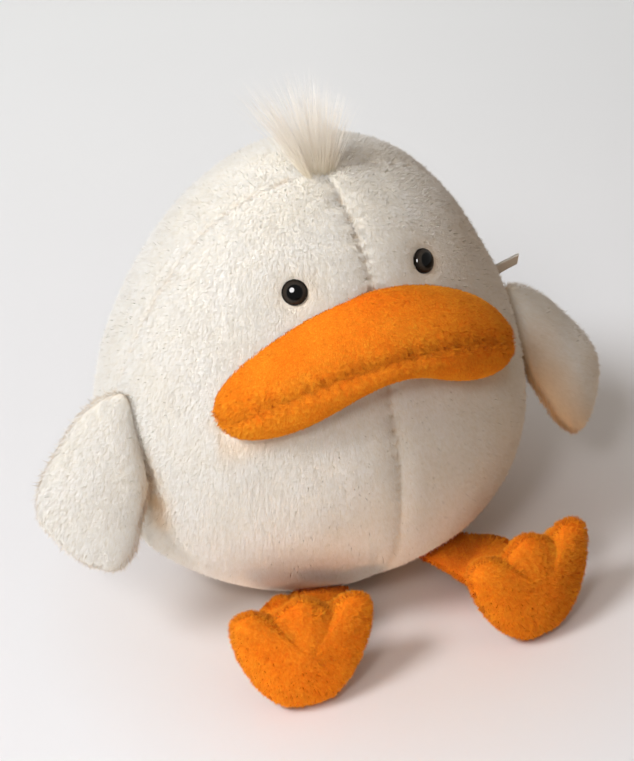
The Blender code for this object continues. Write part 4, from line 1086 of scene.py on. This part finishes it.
def makeFloor():
    mesh = bpy.data.meshes.new("floor")
    mesh.from_pydata([(-6, -6, 0), (6, -6, 0), (6, 6, 0), (-6, 6, 0)], [], [(0, 1, 2, 3)])
    material, nodes, links, shader = finishNodes("floorPaper")
    place = nodes.new("ShaderNodeTexCoord").outputs["Object"]
    depth, near = nodes.new("ShaderNodeVectorMath"), nodes.new("ShaderNodeVectorMath")
    depth.operation, near.operation = "DOT_PRODUCT", "DISTANCE"
    depth.inputs[1].default_value = stage["away"]
    near.inputs[1].default_value = (0.02, -0.06, 0.0)
    links.new(place, depth.inputs[0])
    links.new(place, near.inputs[0])
    # painted light: the paper is darker near the camera and brighter and cooler far off
    paper = addRamp(nodes, links, depth.outputs["Value"], [(0.0, stage["floorNear"]), (0.7, stage["floorFar"])])
    # painted shadow and painted orange bounce: a darker, browner pool on the paper round the duck
    shadePool = addRamp(nodes, links, near.outputs["Value"], [(0.08, stage["floorShadePool"]), (0.19, (1.0, 1.0, 1.0))])
    paper = addMix(nodes, links, 1.0, paper, shadePool, "MULTIPLY")
    beside = nodes.new("ShaderNodeVectorMath")
    beside.operation = "DOT_PRODUCT"
    beside.inputs[1].default_value = stage["aside"]
    links.new(place, beside.inputs[0])
    # painted shade: the paper darkens to the right, where the duck's shadow reaches
    rightShade = addRamp(nodes, links, beside.outputs["Value"], [(0.0, (1.0, 1.0, 1.0)), (0.25, stage["floorRightShade"])])
    paper = addMix(nodes, links, 1.0, paper, rightShade, "MULTIPLY")
    grain = addNoise(nodes, links, 3.0, 2.0)
    fleck = addRamp(nodes, links, grain.outputs["Fac"], [(0.3, (0.985, 0.985, 0.985)), (0.7, (1.0, 1.0, 1.0))])
    paper = addMix(nodes, links, 1.0, paper, fleck, "MULTIPLY")
    seen = nodes.new("ShaderNodeLightPath").outputs["Is Camera Ray"]
    cast = addRamp(nodes, links, beside.outputs["Value"], [(0.0, stage["bounceLeft"]), (0.16, stage["bounceRight"])])
    links.new(addMix(nodes, links, seen, cast, paper), shader.inputs["Base Color"])
    shader.inputs["Roughness"].default_value = 0.75
    shader.inputs["Specular IOR Level"].default_value = 0.25
    mesh.materials.append(material)
    floor = bpy.data.objects.new("floor", mesh)
    bpy.context.scene.collection.objects.link(floor)


def makeWorld():
    world = bpy.data.worlds.new("studio")
    bpy.context.scene.world = world
    world.use_nodes = True
    nodes, links = world.node_tree.nodes, world.node_tree.links
    nodes.clear()
    rays = nodes.new("ShaderNodeLightPath")
    light, backdrop = nodes.new("ShaderNodeBackground"), nodes.new("ShaderNodeBackground")
    toward, split, half = (nodes.new("ShaderNode" + kind) for kind in ("TexCoord", "SeparateXYZ", "Math"))
    links.new(toward.outputs["Generated"], split.inputs[0])
    links.new(split.outputs["X"], half.inputs[0])
    half.operation = "MULTIPLY_ADD"
    half.inputs[1].default_value = half.inputs[2].default_value = 0.5
    around = addRamp(nodes, links, half.outputs[0], [(0.2, stage["worldLeft"]), (0.8, stage["worldRight"])])
    rise = addRamp(nodes, links, split.outputs["Z"],
                   [(0.0, stage["worldLow"]), (1.0, stage["worldHigh"])])
    links.new(addMix(nodes, links, 1.0, around, rise, "MULTIPLY"), light.inputs["Color"])
    light.inputs["Strength"].default_value = stage["worldLight"]
    backdrop.inputs["Color"].default_value = (*stage["background"], 1.0)
    seen = rays.outputs["Is Camera Ray"]
    for kind in ("Is Glossy Ray", "Is Transmission Ray"):
        most = nodes.new("ShaderNodeMath")
        most.operation = "MAXIMUM"
        links.new(seen, most.inputs[0])
        links.new(rays.outputs[kind], most.inputs[1])
        seen = most.outputs["Value"]
    mix, output = nodes.new("ShaderNodeMixShader"), nodes.new("ShaderNodeOutputWorld")
    links.new(seen, mix.inputs["Fac"])
    links.new(light.outputs["Background"], mix.inputs[1])
    links.new(backdrop.outputs["Background"], mix.inputs[2])
    links.new(mix.outputs["Shader"], output.inputs["Surface"])


def addLamp(name, place, aim, size, energy, colour):
    lamp = bpy.data.lights.new(name, "AREA")
    lamp.shape = "DISK"
    lamp.size = size
    lamp.energy = energy
    lamp.color = colour
    if name == "bounceLamp":  # a narrow beam along the floor, on the feet and the low belly
        lamp.spread = bounceSpread
    shown = bpy.data.objects.new(name, lamp)
    shown.location = place
    shown.visible_glossy = name == "glintLamp"  # it only shows in the eyes, and the others only light
    shown.visible_diffuse = not shown.visible_glossy
    shown.rotation_euler = (Vector(aim) - Vector(place)).to_track_quat("-Z", "Y").to_euler()
    bpy.context.scene.collection.objects.link(shown)


def makeCamera():
    azimuth, elevation, roll = math.radians(-26), math.radians(33.5), math.radians(-1)
    back = Vector((math.sin(azimuth) * math.cos(elevation), -math.cos(azimuth) * math.cos(elevation),
                   math.sin(elevation)))
    right = Vector((math.cos(azimuth), math.sin(azimuth), 0))
    up = back.cross(right)
    aim = Vector((0, 0, 0.110)) + right * 0.00341 - up * 0.00872
    across = right * math.cos(roll) + up * math.sin(roll)
    upward = up * math.cos(roll) - right * math.sin(roll)
    data = bpy.data.cameras.new("camera")
    data.lens = 92.64
    data.sensor_width = 36.0
    camera = bpy.data.objects.new("camera", data)
    camera.matrix_world = Matrix.Translation(aim + back * 1.0) @ Matrix((across, upward, back)).transposed().to_4x4()
    bpy.context.scene.collection.objects.link(camera)
    bpy.context.scene.camera = camera


makeFloor()
makeWorld()
for name, lamp in lamps.items():
    addLamp(name, *lamp)
makeCamera()
bpy.context.scene.view_settings.view_transform = "Standard"
print("stage set")
